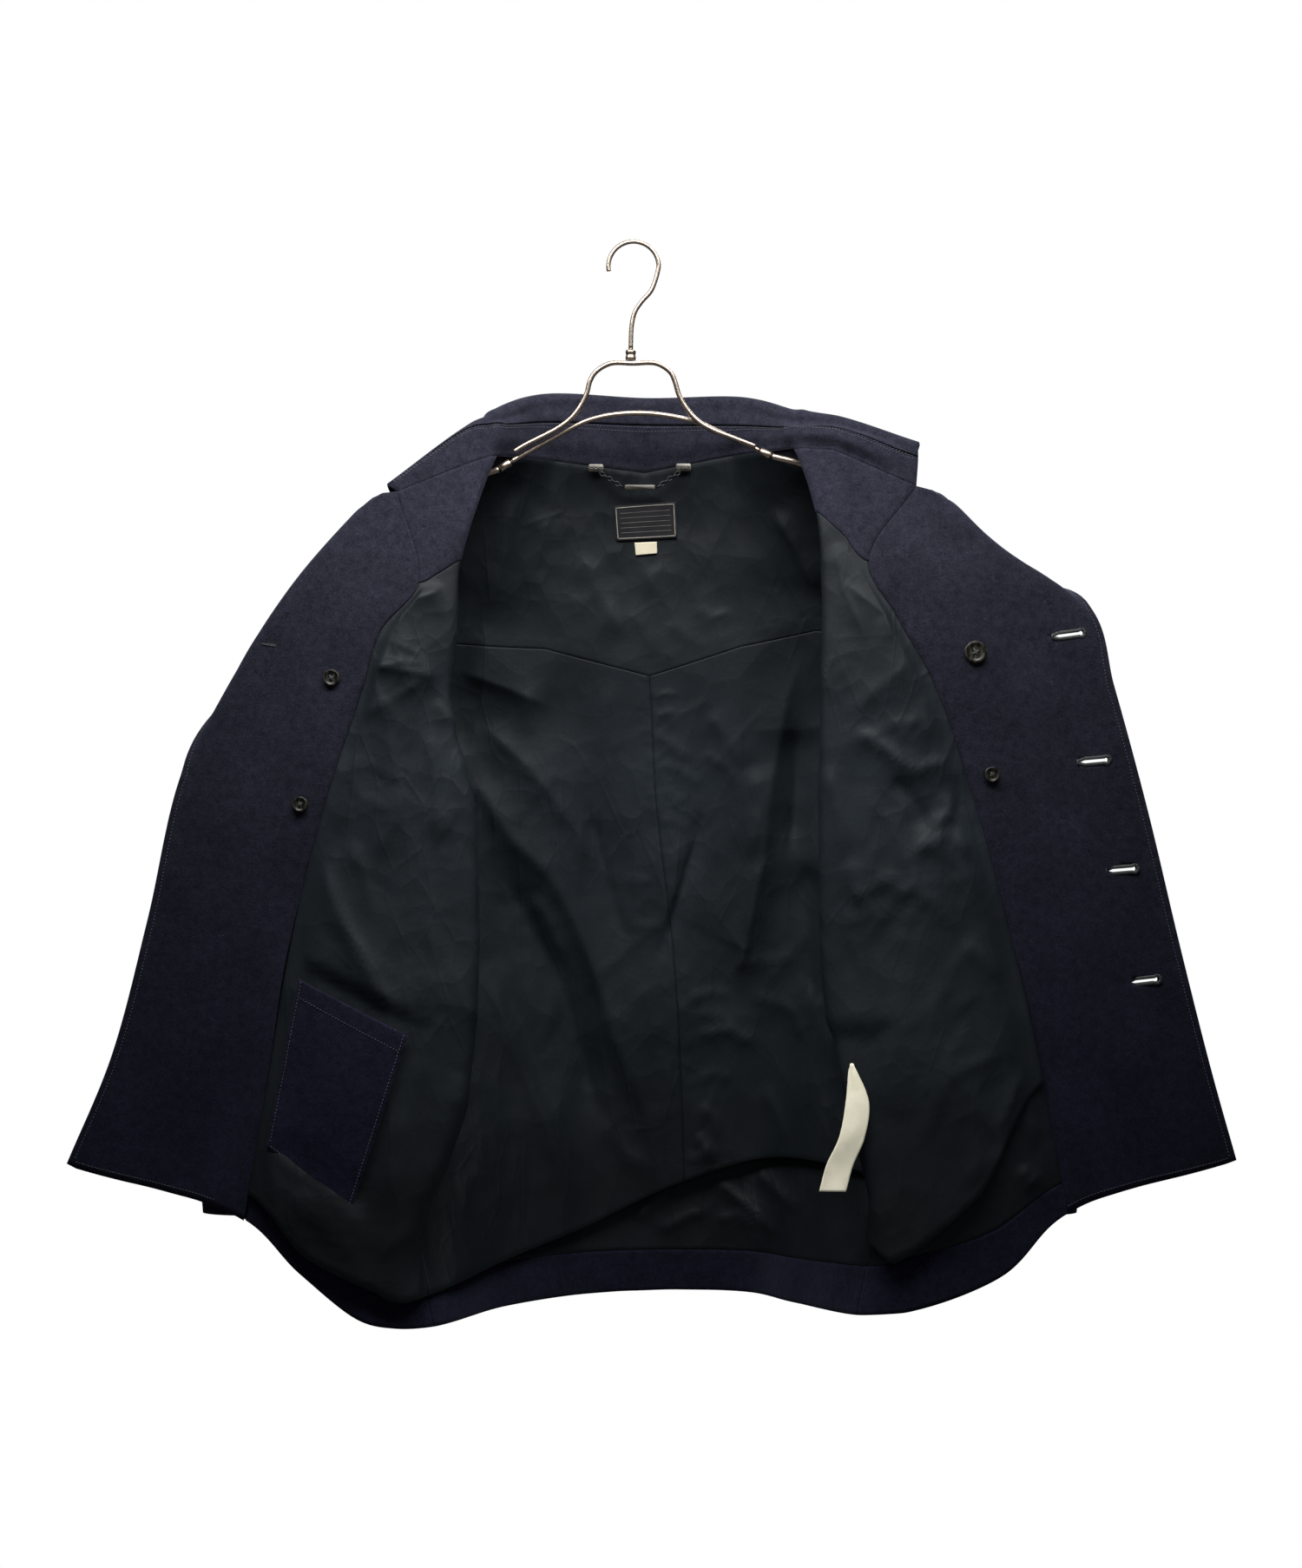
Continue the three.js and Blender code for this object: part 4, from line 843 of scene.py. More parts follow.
LEFT_FRONT = front_sheet(LEFT, LEFT_LAPEL, -1, waves_of(
    LEFT_WOOL_FOLDS, lambda u, v: smooth((u + 0.9) / 0.9) * smooth((3.4 - u) / 0.9)))
RIGHT_FRONT = front_sheet(RIGHT, RIGHT_LAPEL, 1, waves_of(
    RIGHT_WOOL_FOLDS, lambda u, v: smooth((u + 0.9) / 0.9) * smooth((3.4 - u) / 0.9)))
BACK = back_sheet(waves_of(
    BACK_WOOL_FOLDS, lambda u, v: smooth((u - 1.2) / 0.8) * smooth((6.8 - u) / 0.8)))
COLLAR_SHEET = {
    "place": collar_point, "hand": 1, "u_min": 0, "u_max": len(COLLAR_COLUMNS) - 1, "v_max": 3,
    "bottom": np.array([c[0] for c in COLLAR_COLUMNS], float)[:, None],
    "joint": np.array([c[1] for c in COLLAR_COLUMNS], float)[:, None],
    "roll": np.array([c[2] for c in COLLAR_COLUMNS], float)[:, None],
    "fall": [c[3] for c in COLLAR_COLUMNS], "turn": [c[4] for c in COLLAR_COLUMNS],
    "waves": lambda u, v, x, z: (
        0.9 * np.sin(u * 3.1 + 0.6) * np.sin(u * 1.27) * smooth(v - 1.6)
        + smooth((v - 0.04) / 0.5) * smooth((1.9 - v) / 0.9)
        * (8.0 * smooth((u - 6.6) / 0.8) * smooth((10 - u) / 0.8)
           + 6.0 * smooth((u - 1.6) / 0.8) * smooth((4 - u) / 0.9)
           + 5.0 * smooth((u - 3.3) / 0.9) * smooth((7.2 - u) / 0.9))),
}

FRONTS = (("left", LEFT_FRONT), ("right", RIGHT_FRONT))


def panel(name, sheet, u_lines, v_lines, low, high, material, slot, replaces, **how):
    """A piece of cloth on a sheet. v_lines is (rows,) or (columns, rows)."""
    u = np.asarray(u_lines, float)
    v = np.asarray(v_lines, float)
    if v.ndim == 1:
        v = np.broadcast_to(v, (len(u), len(v)))
    u = np.broadcast_to(u[:, None], v.shape)
    inner, outer = surface(sheet, u, v, high), surface(sheet, u, v, low)
    return shell(name, inner, outer, material, slot, replaces, **how)


ROWS = np.linspace(0, 7, 128)
LAPEL = np.linspace(-1, 0, 16)[:-1]


def cut_slits(piece, sheet, places):
    """Keyhole slits through a piece, by an exact boolean."""
    cutters = []
    for x, z in places:
        u, v = (a[0] for a in locate(sheet, [x], [z], 0.3, 3))
        centre = surface(sheet, np.array([u]), np.array([v]), 0.0)[0]
        normal = inward(sheet, np.array([u]), np.array([v]))[0]
        along = front_point(sheet, np.array([u - 0.02]), np.array([v]))[0] - front_point(
            sheet, np.array([u]), np.array([v]))[0]
        along[2] += abs(along[0]) * 0.1
        along = unit(along - normal * np.dot(along, normal))
        across = np.cross(normal, along)
        outline = [(-SLIT_LENGTH / 2, 0), (-SLIT_LENGTH / 2 + 5, -SLIT_WIDTH / 2)]
        outline += [(SLIT_LENGTH / 2 + SLIT_EYE * math.cos(a), SLIT_EYE * math.sin(a))
                    for a in np.linspace(-2.4, 2.4, 13)]
        outline += [(-SLIT_LENGTH / 2 + 5, SLIT_WIDTH / 2)]
        ring = np.array([centre + along * a + across * b for a, b in outline])
        n = len(ring)
        points = np.concatenate([ring - normal * 15, ring + normal * 15])
        faces = [tuple(range(n)), tuple(reversed(range(n, 2 * n)))]
        faces += [(k, k + n, (k + 1) % n + n, (k + 1) % n) for k in range(n)]
        cutters.append((points, faces, (centre, along, across, normal, outline)))
    points, faces = joined([(p, turned_out(p, f)) for p, f, _ in cutters])
    mesh = bpy.data.meshes.new("slit_cutter")
    mesh.from_pydata((points / 1000).tolist(), [], faces)
    cutter = bpy.data.objects.new("slit_cutter", mesh)
    bpy.context.collection.objects.link(cutter)
    cut = piece.modifiers.new("slits", "BOOLEAN")
    cut.operation, cut.object, cut.solver = "DIFFERENCE", cutter, "EXACT"
    graph = bpy.context.evaluated_depsgraph_get()
    made = bpy.data.meshes.new_from_object(piece.evaluated_get(graph))
    piece.modifiers.remove(cut)
    piece.data = made
    bpy.data.objects.remove(cutter)
    return [c[2] for c in cutters]


SLIT_LENGTH, SLIT_WIDTH, SLIT_EYE = 25, 3.4, 2.4
BUTTONHOLES = [(380, -349), (402, -459), (427, -554), (447, -651)]

# ---------------------------------------------------------------- wool body
columns = np.concatenate([LAPEL, np.linspace(EDGE, SIDE, 72)])
for side, sheet in FRONTS:
    front = panel(f"front_{side}_cloth", sheet, columns, ROWS, -WOOL, 0.0, M_WOOL, "wool",
                  [f"front_{side}"], rests_on=["hanger_arm_" + side])
    if side == "right":
        cut_slits(front, sheet, BUTTONHOLES)
for side, start, end in (("left", BACK_LEFT_SIDE, BACK_CENTRE),
                         ("right", BACK_CENTRE, BACK_RIGHT_SIDE)):
    panel(f"back_{side}_cloth", BACK, np.linspace(start, end, 60), ROWS, -WOOL, 0.0, M_WOOL,
          "wool", [f"back_{side}"], rests_on=["hanger_arm_" + side])

# ---------------------------------------------------------------- facings
PLEAT = 4.0


def standing(offset, free):
    """An offset whose inner edge stands free of the lining towards the hem."""
    def field(u, v, x, z):
        return offset + free * smooth((u - 0.72) / 0.28) * smooth((v - 4.5) / 0.7)
    return field


columns = np.concatenate([LAPEL, np.linspace(EDGE, SEAM, 22)])
slit_frames = []
for side, sheet in FRONTS:
    free = PLEAT if side == "left" else 0.0
    facing = panel(f"facing_{side}_cloth", sheet, columns, ROWS, standing(LAYER_GAP, free),
                   standing(FACING_FACE, free), M_WOOL, "wool", [f"facing_{side}"],
                   rests_on=[f"front_{side}_cloth"])
    if side == "right":
        slit_frames = cut_slits(facing, sheet, BUTTONHOLES)
    panel(f"upper_facing_{side}_cloth", sheet, np.linspace(SEAM, FOLD + 1 / 3, 30),
          np.linspace(0, 1, 26), LAYER_GAP, FACING_FACE, M_WOOL, "wool",
          [f"upper_facing_{side}"], rests_on=[f"front_{side}_cloth"])


# ---------------------------------------------------------------- lining
def bulge(v):
    return LINING_GAP + LINING_HANG * smooth((v - 4.4) / 2.2)


CRISP = 1.05


def pucker(seed, line, spacing, size, rise):
    """Short creases across a seam, uneven in length and spacing."""
    pick = np.random.RandomState(seed)
    points = np.array(line, float)
    gaps = np.linalg.norm(np.diff(points, axis=0), axis=1)
    at = np.concatenate([[0], np.cumsum(gaps)])
    made, s = [], spacing * 0.5
    while s < at[-1] - 1:
        x, z = np.interp(s, at, points[:, 0]), np.interp(s, at, points[:, 1])
        k = min(np.searchsorted(at, s), len(gaps)) - 1
        dx, dz = (points[k + 1] - points[k]) / gaps[k]
        turn = pick.normal(0, 0.45)
        ax = -dz * math.cos(turn) - dx * math.sin(turn)
        az = dx * math.cos(turn) - dz * math.sin(turn)
        a, b = pick.uniform(0.2, 1.0, 2) * size
        made.append(([(x - ax * a, z - az * a), (x, z), (x + ax * b, z + az * b)],
                     pick.uniform(0.5, 1.2) * rise, pick.uniform(1.8, 3.2), pick.uniform(2, 4)))
        s += pick.uniform(0.6, 1.5) * spacing
    return made


def crumple(seed, count, box, sizes, rises, lean):
    """Small creases of uneven length, direction and spacing inside a box of x and z."""
    pick = np.random.RandomState(seed)
    x0, x1, z0, z1 = box
    made = []
    for _ in range(count):
        x, z = pick.uniform(x0, x1), pick.uniform(z0, z1)
        angle = pick.normal(lean, 0.55)
        size = pick.uniform(*sizes)
        bend = pick.uniform(-0.18, 0.18) * size
        dx, dz = math.cos(angle) * size / 2, math.sin(angle) * size / 2
        line = [(x - dx, z - dz), (x - dz * bend / size, z + dx * bend / size), (x + dx, z + dz)]
        rise = pick.uniform(*rises) * (1 if pick.uniform() < 0.7 else -0.6)
        made.append((line, rise, pick.uniform(2.5, 7.0), pick.uniform(3.0, 9.0)))
    return made


# line of x, z points seen from the front, rise, width on its left and right
BACK_FOLDS = [
    ([(-104, -206), (-110, -246), (-122, -292), (-132, -340)], 6.0, 22, 9),
    ([(-45, -272), (-28, -311), (-4, -353)], 3.6, 5, 16),
    ([(36, -268), (12, -311), (-1, -359)], 2.3, 9, 14),
    ([(15, -282), (21, -325), (17, -371)], 1.8, 8, 8),
    ([(55, -321), (72, -331), (90, -325)], 1.9, 4, 5),
    ([(31, -335), (46, -345), (58, -357)], 1.7, 4, 5),
    ([(124, -232), (146, -268), (171, -318)], 6.5, 16, 6),
    ([(-98, -239), (-74, -254), (-40, -249)], 1.8, 6, 8),
    ([(65, -211), (84, -230), (113, -235)], 1.9, 6, 7),
    ([(-141, -421), (-93, -464), (-50, -517), (-31, -550)], 6.0, 20, 13),
    ([(20, -421), (31, -415), (40, -417)], 1.6, 3, 3),
    ([(21, -436), (36, -443), (53, -460)], 1.9, 4, 4),
    ([(23, -460), (43, -467), (65, -483)], 1.7, 4, 5),
    ([(25, -483), (36, -488), (47, -498)], 1.5, 3, 4),
    ([(25, -510), (39, -512), (53, -522)], 1.7, 4, 4),
    ([(21, -402), (31, -398), (42, -402)], 1.3, 3, 3),
    ([(65, -414), (84, -436), (101, -467)], 2.8, 9, 7),
    ([(60, -450), (84, -464), (98, -483)], 2.1, 7, 6),
    ([(146, -421), (146, -479), (140, -550)], -7.0, 14, 12),
    ([(108, -460), (117, -498), (106, -550)], 4.2, 14, 10),
    ([(-16, -383), (-31, -440), (-50, -498)], 1.9, 14, 12),
    ([(-165, -430), (-137, -487), (-111, -528), (-76, -559), (-52, -600), (-32, -646), (-19, -692),
      (-4, -733), (14, -769), (24, -822)], 13.0, 46, 20),
    ([(-124, -545), (-92, -602), (-66, -655), (-44, -725), (-24, -795)], -8.0, 16, 22),
    ([(-92, -575), (-76, -600), (-60, -640)], 4.0, 7, 9),
    ([(-40, -487), (-32, -528), (-17, -579), (-4, -625)], -5.0, 5, 12),
    ([(63, -492), (55, -533), (43, -574), (27, -625), (17, -646)], -4.5, 6, 5),
    ([(155, -352), (138, -405), (125, -487), (119, -554), (104, -631), (70, -664)], 8.5, 14, 34),
    ([(-158, -376), (-112, -393), (-66, -414)], 7.0, 26, 13),
    ([(-140, -628), (-109, -715), (-79, -790), (-63, -840), (-69, -873)], 7.0, 16, 12),
    ([(-119, -645), (-89, -725), (-69, -775)], -3.0, 10, 10),
    ([(-154, -725), (-143, -785), (-139, -835)], 2.5, 12, 8),
    ([(-49, -515), (-24, -565), (-9, -615)], 3.0, 14, 10),
    ([(-4, -603), (16, -605), (32, -604)], 1.6, 3, 4),
    ([(-9, -563), (11, -565), (22, -563)], 1.4, 3, 3),
    ([(47, -669), (71, -663), (92, -665)], 2.0, 4, 5),
    ([(53, -701), (86, -696), (121, -711)], 3.4, 5, 8),
    ([(56, -680), (81, -685), (96, -701)], 1.9, 4, 5),
    ([(52, -743), (71, -735), (96, -740)], 1.5, 4, 4),
    ([(58, -760), (73, -775), (78, -795)], 2.5, 4, 6),
    ([(38, -530), (36, -575), (21, -630)], 2.3, 8, 8),
    ([(118, -540), (111, -585), (96, -645), (93, -665)], 3.6, 10, 8),
    ([(86, -640), (121, -635), (151, -633)], 1.7, 4, 5),
    ([(106, -665), (136, -675), (158, -688)], 2.1, 5, 5),
    ([(153, -545), (164, -605), (161, -680)], -9.0, 12, 14),
    ([(171, -665), (163, -690), (148, -705)], 3.0, 5, 6),
    ([(121, -745), (136, -775), (146, -805)], 2.1, 8, 8),
    ([(-29, -775), (-4, -810), (21, -825)], 2.1, 6, 6),
    ([(56, -788), (66, -800), (71, -815)], 3.4, 5, 6),
    ([(47, -811), (61, -808), (72, -795)], 2.5, 4, 4),
]
LEFT_FOLDS = [
    ([(-219, -322), (-196, -318), (-165, -304)], 6.0, 12, 15),
    ([(-220, -349), (-191, -364), (-173, -402)], 2.3, 8, 10),
    ([(-240, -372), (-208, -378), (-170, -386)], 6.0, 18, 13),
    ([(-241, -421), (-208, -402), (-179, -383)], 2.7, 8, 8),
    ([(-182, -421), (-173, -479), (-173, -550)], 2.7, 5, 8),
    ([(-160, -436), (-149, -488), (-141, -550)], 2.7, 6, 7),
    ([(-227, -378), (-203, -371), (-184, -373)], 1.7, 4, 5),
    ([(-203, -479), (-213, -517), (-227, -550)], 2.3, 7, 9),
    ([(-177, -404), (-167, -421), (-141, -436)], 2.5, 4, 6),
    ([(-261, -464), (-241, -488), (-213, -503)], 1.7, 6, 6),
    ([(-173, -498), (-165, -510), (-170, -531)], 1.9, 4, 5),
    ([(-279, -530), (-257, -592), (-222, -665), (-205, -697)], 5.5, 5, 13),
    ([(-250, -525), (-234, -565), (-229, -605)], 1.9, 6, 6),
    ([(-174, -600), (-179, -645), (-187, -685)], 2.3, 4, 6),
    ([(-164, -725), (-157, -765), (-164, -815), (-184, -866)], 2.8, 8, 10),
    ([(-209, -765), (-202, -805), (-214, -856)], 1.9, 7, 7),
    ([(-300, -835), (-275, -861), (-255, -886), (-239, -911)], 2.7, 6, 8),
    ([(-280, -840), (-250, -866), (-209, -896)], 2.1, 6, 7),
    ([(-229, -896), (-199, -876), (-164, -835)], 2.1, 7, 7),
    ([(-184, -911), (-164, -881), (-139, -845)], 2.5, 8, 9),
    ([(-129, -886), (-109, -861), (-89, -815)], 2.3, 8, 8),
    ([(-300, -605), (-285, -580), (-275, -545)], 2.1, 6, 6),
]
RIGHT_FOLDS = [
    ([(193, -429), (228, -450), (254, -474)], 5.0, 5, 10),
    ([(246, -537), (266, -529), (284, -521)], 4.5, 4, 8),
    ([(281, -520), (300, -545), (321, -572)], 4.5, 7, 5),
    ([(284, -466), (289, -495), (282, -520)], -4.0, 6, 6),
    ([(288, -618), (308, -632), (332, -657)], 3.6, 6, 9),
    ([(230, -470), (250, -495), (264, -522)], -4.0, 6, 9),
    ([(180, -263), (189, -306), (209, -354)], 2.5, 7, 9),
    ([(185, -297), (223, -330), (232, -359)], 2.3, 5, 7),
    ([(185, -421), (223, -392), (252, -364)], 2.3, 10, 10),
    ([(204, -440), (237, -426), (266, -421)], 1.9, 4, 5),
    ([(242, -469), (276, -460), (304, -483)], 2.5, 5, 7),
    ([(256, -512), (290, -505), (319, -510)], 2.3, 4, 5),
    ([(271, -483), (292, -517), (309, -546)], 2.3, 5, 6),
    ([(295, -460), (283, -498), (256, -536)], 2.1, 5, 5),
    ([(209, -488), (232, -517), (242, -550)], 1.9, 6, 6),
    ([(175, -460), (185, -507), (189, -550)], 2.9, 6, 8),
    ([(196, -545), (202, -575), (216, -605)], 2.5, 5, 6),
    ([(261, -530), (291, -555), (316, -590)], 2.7, 8, 8),
    ([(236, -525), (251, -570), (291, -615)], 2.3, 6, 7),
    ([(266, -750), (296, -730), (336, -715)], 1.9, 6, 6),
    ([(256, -795), (271, -755), (266, -735)], 2.3, 6, 6),
    ([(216, -755), (221, -815), (211, -866)], -3.5, 18, 18),
    ([(176, -795), (171, -840), (161, -866)], 2.1, 6, 6),
    ([(316, -795), (336, -750), (351, -725)], 2.1, 7, 6),
    ([(271, -876), (301, -861), (331, -835)], 2.1, 6, 6),
    ([(286, -835), (306, -815), (336, -805)], 1.9, 5, 6),
]
RETURN_FOLDS = [
    ([(-49, -866), (-19, -861), (-4, -851)], 1.2, 6, 6),
    ([(1, -866), (21, -845), (43, -835)], 1.6, 6, 6),
    ([(71, -828), (101, -851), (136, -883)], 1.8, 6, 5),
    ([(111, -821), (131, -840), (151, -861)], 1.5, 6, 6),
    ([(71, -866), (96, -861), (121, -876)], 1.3, 5, 6),
    ([(21, -876), (51, -861), (71, -856)], 1.4, 5, 6),
    ([(341, -725), (351, -765), (356, -805)], 1.6, 5, 5),
    ([(344, -815), (351, -835), (361, -820)], 1.4, 5, 5),
]


def in_quad(x, z, corners, soft):
    """1 inside a four-sided figure, fading to 0 over a soft border outside it."""
    inside = np.full(x.shape, 1e9)
    for (ax, az), (bx, bz) in zip(corners, corners[1:] + corners[:1]):
        span = math.hypot(bx - ax, bz - az)
        away = ((bx - ax) * (z - az) - (bz - az) * (x - ax)) / span
        inside = np.minimum(inside, -away)
    return smooth(1 + inside / soft)


POCKET = [(-285, -647), (-192, -696), (-240, -846), (-312, -792)]


LOOSE = 4.5


def lining_layer(folds, fade, keep_flat=(), start=0.9):
    """Offset of a lining that hangs loose of the wool and holds its creases."""
    def field(u, v, x, z):
        hang = LOOSE * smooth((v - start) / 1.4)
        lift = (hang + crease_field(x, z, folds, CRISP)) * fade(u, v)
        for corners, soft in keep_flat:
            lift = lift * (1 - in_quad(x, z, corners, soft))
        return bulge(v) + np.where(lift > 0, lift, -0.3 * np.tanh(-lift / 1.5))
    return field


CENTRE_SEAM = [(14, -380), (18, -438), (25, -515), (31, -592), (45, -633), (54, -714), (66, -812)]
YOKE_LINE = [(-150, -350), (-68, -354), (-8, -371), (14, -377), (41, -362), (95, -346), (170, -334)]
LEFT_SEAM = [(-160, -500), (-170, -560), (-190, -630), (-206, -690)]
RIGHT_SEAM = [(178, -530), (198, -575), (228, -650), (262, -716), (296, -800)]
back_creases = BACK_FOLDS + crumple(11, 46, (-150, 160, -800, -400), (30, 110), (0.4, 1.3), 1.2)
back_creases += crumple(12, 14, (-100, 150, -340, -225), (25, 70), (0.3, 0.9), 1.1)
back_creases += pucker(3, CENTRE_SEAM, 9, 13, 0.75) + pucker(4, YOKE_LINE, 12, 8, 0.5)
left_creases = LEFT_FOLDS + crumple(23, 52, (-330, -150, -900, -380), (30, 90), (0.5, 1.5), -0.9)
left_creases += pucker(5, LEFT_SEAM, 7, 9, 0.9)
right_creases = RIGHT_FOLDS + crumple(37, 52, (170, 330, -880, -380), (30, 90), (0.5, 1.5), 0.9)
right_creases += pucker(6, RIGHT_SEAM, 11, 8, 0.7)
LABEL_ZONE = [(-24, -218), (48, -218), (48, -278), (-24, -278)]
back_field = lining_layer(
    back_creases,
    lambda u, v: smooth((u - 1.1) / 0.4) * smooth((6.9 - u) / 0.4) * smooth((v - 0.15) / 0.4),
    [(LABEL_ZONE, 14)])
left_field = lining_layer(
    left_creases, lambda u, v: smooth((u - 1.02) / 0.35) * smooth((4.95 - u) / 0.4)
    * smooth((v - 1) / 0.3), [(POCKET, 14)])
CARE_ZONE = [(158, -708), (212, -708), (208, -838), (152, -838)]
right_field = lining_layer(
    right_creases, lambda u, v: smooth((u - 1.02) / 0.35) * smooth((4.95 - u) / 0.4)
    * smooth((v - 1) / 0.3), [(CARE_ZONE, 22)])


def above(field, more):
    return lambda u, v, x, z: field(u, v, x, z) + more


def rows_to(sheet, heights, start, u, count):
    end = np.maximum(level_at(sheet, u, height_curve(heights, u)), 5.4)
    first = np.broadcast_to(start, len(u))
    part = np.linspace(0, 1, count)
    return first[:, None] + (end - first)[:, None] * part


u = np.linspace(BACK_LEFT_SIDE, BACK_RIGHT_SIDE, 121)
yoke_end = level_at(BACK, u, row_at(YOKE_SEAM, u))
yoke_start = 0.1 * smooth((abs(u - BACK_CENTRE) - 1.6) / 0.4)
yoke_rows = yoke_start[:, None] + (yoke_end - yoke_start)[:, None] * np.linspace(0, 1, 48)
panel("lining_yoke_cloth", BACK, u, yoke_rows, back_field, above(back_field, LINING), M_LINING,
      "lining", ["lining_yoke"], rests_on=["back_left_cloth"])
for side, start, end in (("left", BACK_LEFT_SIDE, BACK_CENTRE),
                         ("right", BACK_CENTRE, BACK_RIGHT_SIDE)):
    u = np.linspace(start, end, 76)
    v = rows_to(BACK, BACK_LINING_HEM, level_at(BACK, u, row_at(YOKE_SEAM, u)), u, 140)
    panel(f"lining_back_{side}_cloth", BACK, u, v, back_field, above(back_field, LINING),
          M_LINING, "lining", [f"lining_back_{side}"],
          rests_on=[f"back_{side}_cloth"])
for side, sheet in FRONTS:
    heights, field = ((LEFT_LINING_HEM, left_field) if side == "left"
                      else (RIGHT_LINING_HEM, right_field))
    u = np.linspace(SEAM, SIDE, 84)
    v = rows_to(sheet, heights, 1.0, u, 140)
    panel(f"lining_front_{side}_cloth", sheet, u, v, field, above(field, LINING), M_LINING,
          "lining", [f"lining_front_{side}"], rests_on=[f"front_{side}_cloth"])

# ---------------------------------------------------------------- hem pieces
def return_field(u, v, x, z):
    return RETURN_GAP + np.clip(2.6 * crease_field(x, z, RETURN_FOLDS, CRISP), -0.4, 5.0)


RETURNS = (("back", BACK, BACK_LEFT_SIDE, BACK_RIGHT_SIDE, 130),
           ("right", RIGHT_FRONT, SEAM, SIDE, 70))
for side, sheet, start, end, count in RETURNS:
    panel(f"lining_return_{side}_cloth", sheet, np.linspace(start, end, count),
          np.linspace(RETURN_TOP, HEM_BAND_TOP, 34), return_field,
          above(return_field, LINING), M_LINING,
          "lining", [f"lining_return_{side}"], rests_on=[f"hem_band_{side}_cloth"
          if side == "right" else "hem_band_back_left_cloth"])
BANDS = (("left", LEFT_FRONT, SEAM, SIDE), ("back_left", BACK, BACK_LEFT_SIDE, BACK_CENTRE),
         ("back_right", BACK, BACK_CENTRE, BACK_RIGHT_SIDE), ("right", RIGHT_FRONT, SEAM, SIDE))
for side, sheet, start, end in BANDS:
    panel(f"hem_band_{side}_cloth", sheet, np.linspace(start, end, 64),
          np.linspace(HEM_BAND_TOP, 7, 12), LAYER_GAP, FACING_FACE, M_WOOL, "wool",
          [f"hem_band_{side}"], rests_on=["front_left_cloth"])

# ---------------------------------------------------------------- collar
u = np.linspace(0, 10, 170)
stand_rows = np.broadcast_to(np.linspace(-0.06, 1, 15), (len(u), 15))
panel("collar_stand_cloth", COLLAR_SHEET, u, stand_rows, -COLLAR / 2, COLLAR / 2, M_WOOL, "wool",
      ["collar_stand"], rounded=1.0)
bent = COLLAR_RADIUS * row_at(COLLAR_SHEET["turn"], u) / row_at(COLLAR_SHEET["fall"], u)
leaf_rows = np.concatenate([
    np.broadcast_to(np.linspace(1, 2, 8), (len(u), 8))[:, :-1],
    2 + bent[:, None] * np.linspace(0, 1, 11)[:-1],
    (2 + bent)[:, None] + (1 - bent)[:, None] * np.linspace(0, 1, 22)], axis=1)
panel("collar_fall_cloth", COLLAR_SHEET, u, leaf_rows, -COLLAR / 2, COLLAR / 2, M_WOOL, "wool",
      ["collar_fall"], rounded=1.2)


# ---------------------------------------------------------------- sleeves
def sleeve_points(side, hand, count, sides):
    angle = np.linspace(0, 2 * np.pi, sides, endpoint=False)
    part = 0.5 - 0.5 * np.cos(angle)
    rings = []
    v = SCYE_LEVEL * part
    first = curve(np.array(side["side"], float)[:, None], v)
    lift = np.where(v < 1, SHOULDER_ROUND * 0.6 * 4 * v * (1 - v), 0)
    first[:, 1] += np.where(np.sin(angle) >= 0, 1, -1) * (lift + scye(v))
    first[:, 0] += hand * SLEEVE_STAND_OFF
    rings.append(first)
    for ox, oz, ix, iz, y, half in SLEEVE_ROWS:
        x = ox + (ix - ox) * part
        rings.append(np.stack([x if hand < 0 else 2 * MIRROR_X - x,
                               y + half * np.sin(angle), oz + (iz - oz) * part], 1))
    stack = np.stack(rings)
    t = np.linspace(0, len(rings) - 1, count)
    k = np.minimum(t.astype(int), len(rings) - 2)
    f = (t - k)[:, None, None]
    soft = np.stack([curve(stack, np.full(sides, s)) for s in t])
    flat = stack[k] * (1 - f) + stack[k + 1] * f
    ease = smooth(t - 0.2)[:, None, None]
    return flat * (1 - ease) + soft * ease, angle, t


# Ripples down a sleeve: place along its sections, height
SLEEVE_RIPPLES = ((1.6, 1.5), (3.1, 2.4), (3.9, 3.0), (4.6, 3.2), (5.3, 2.6),
                  (6.4, 1.6), (7.9, 1.3))


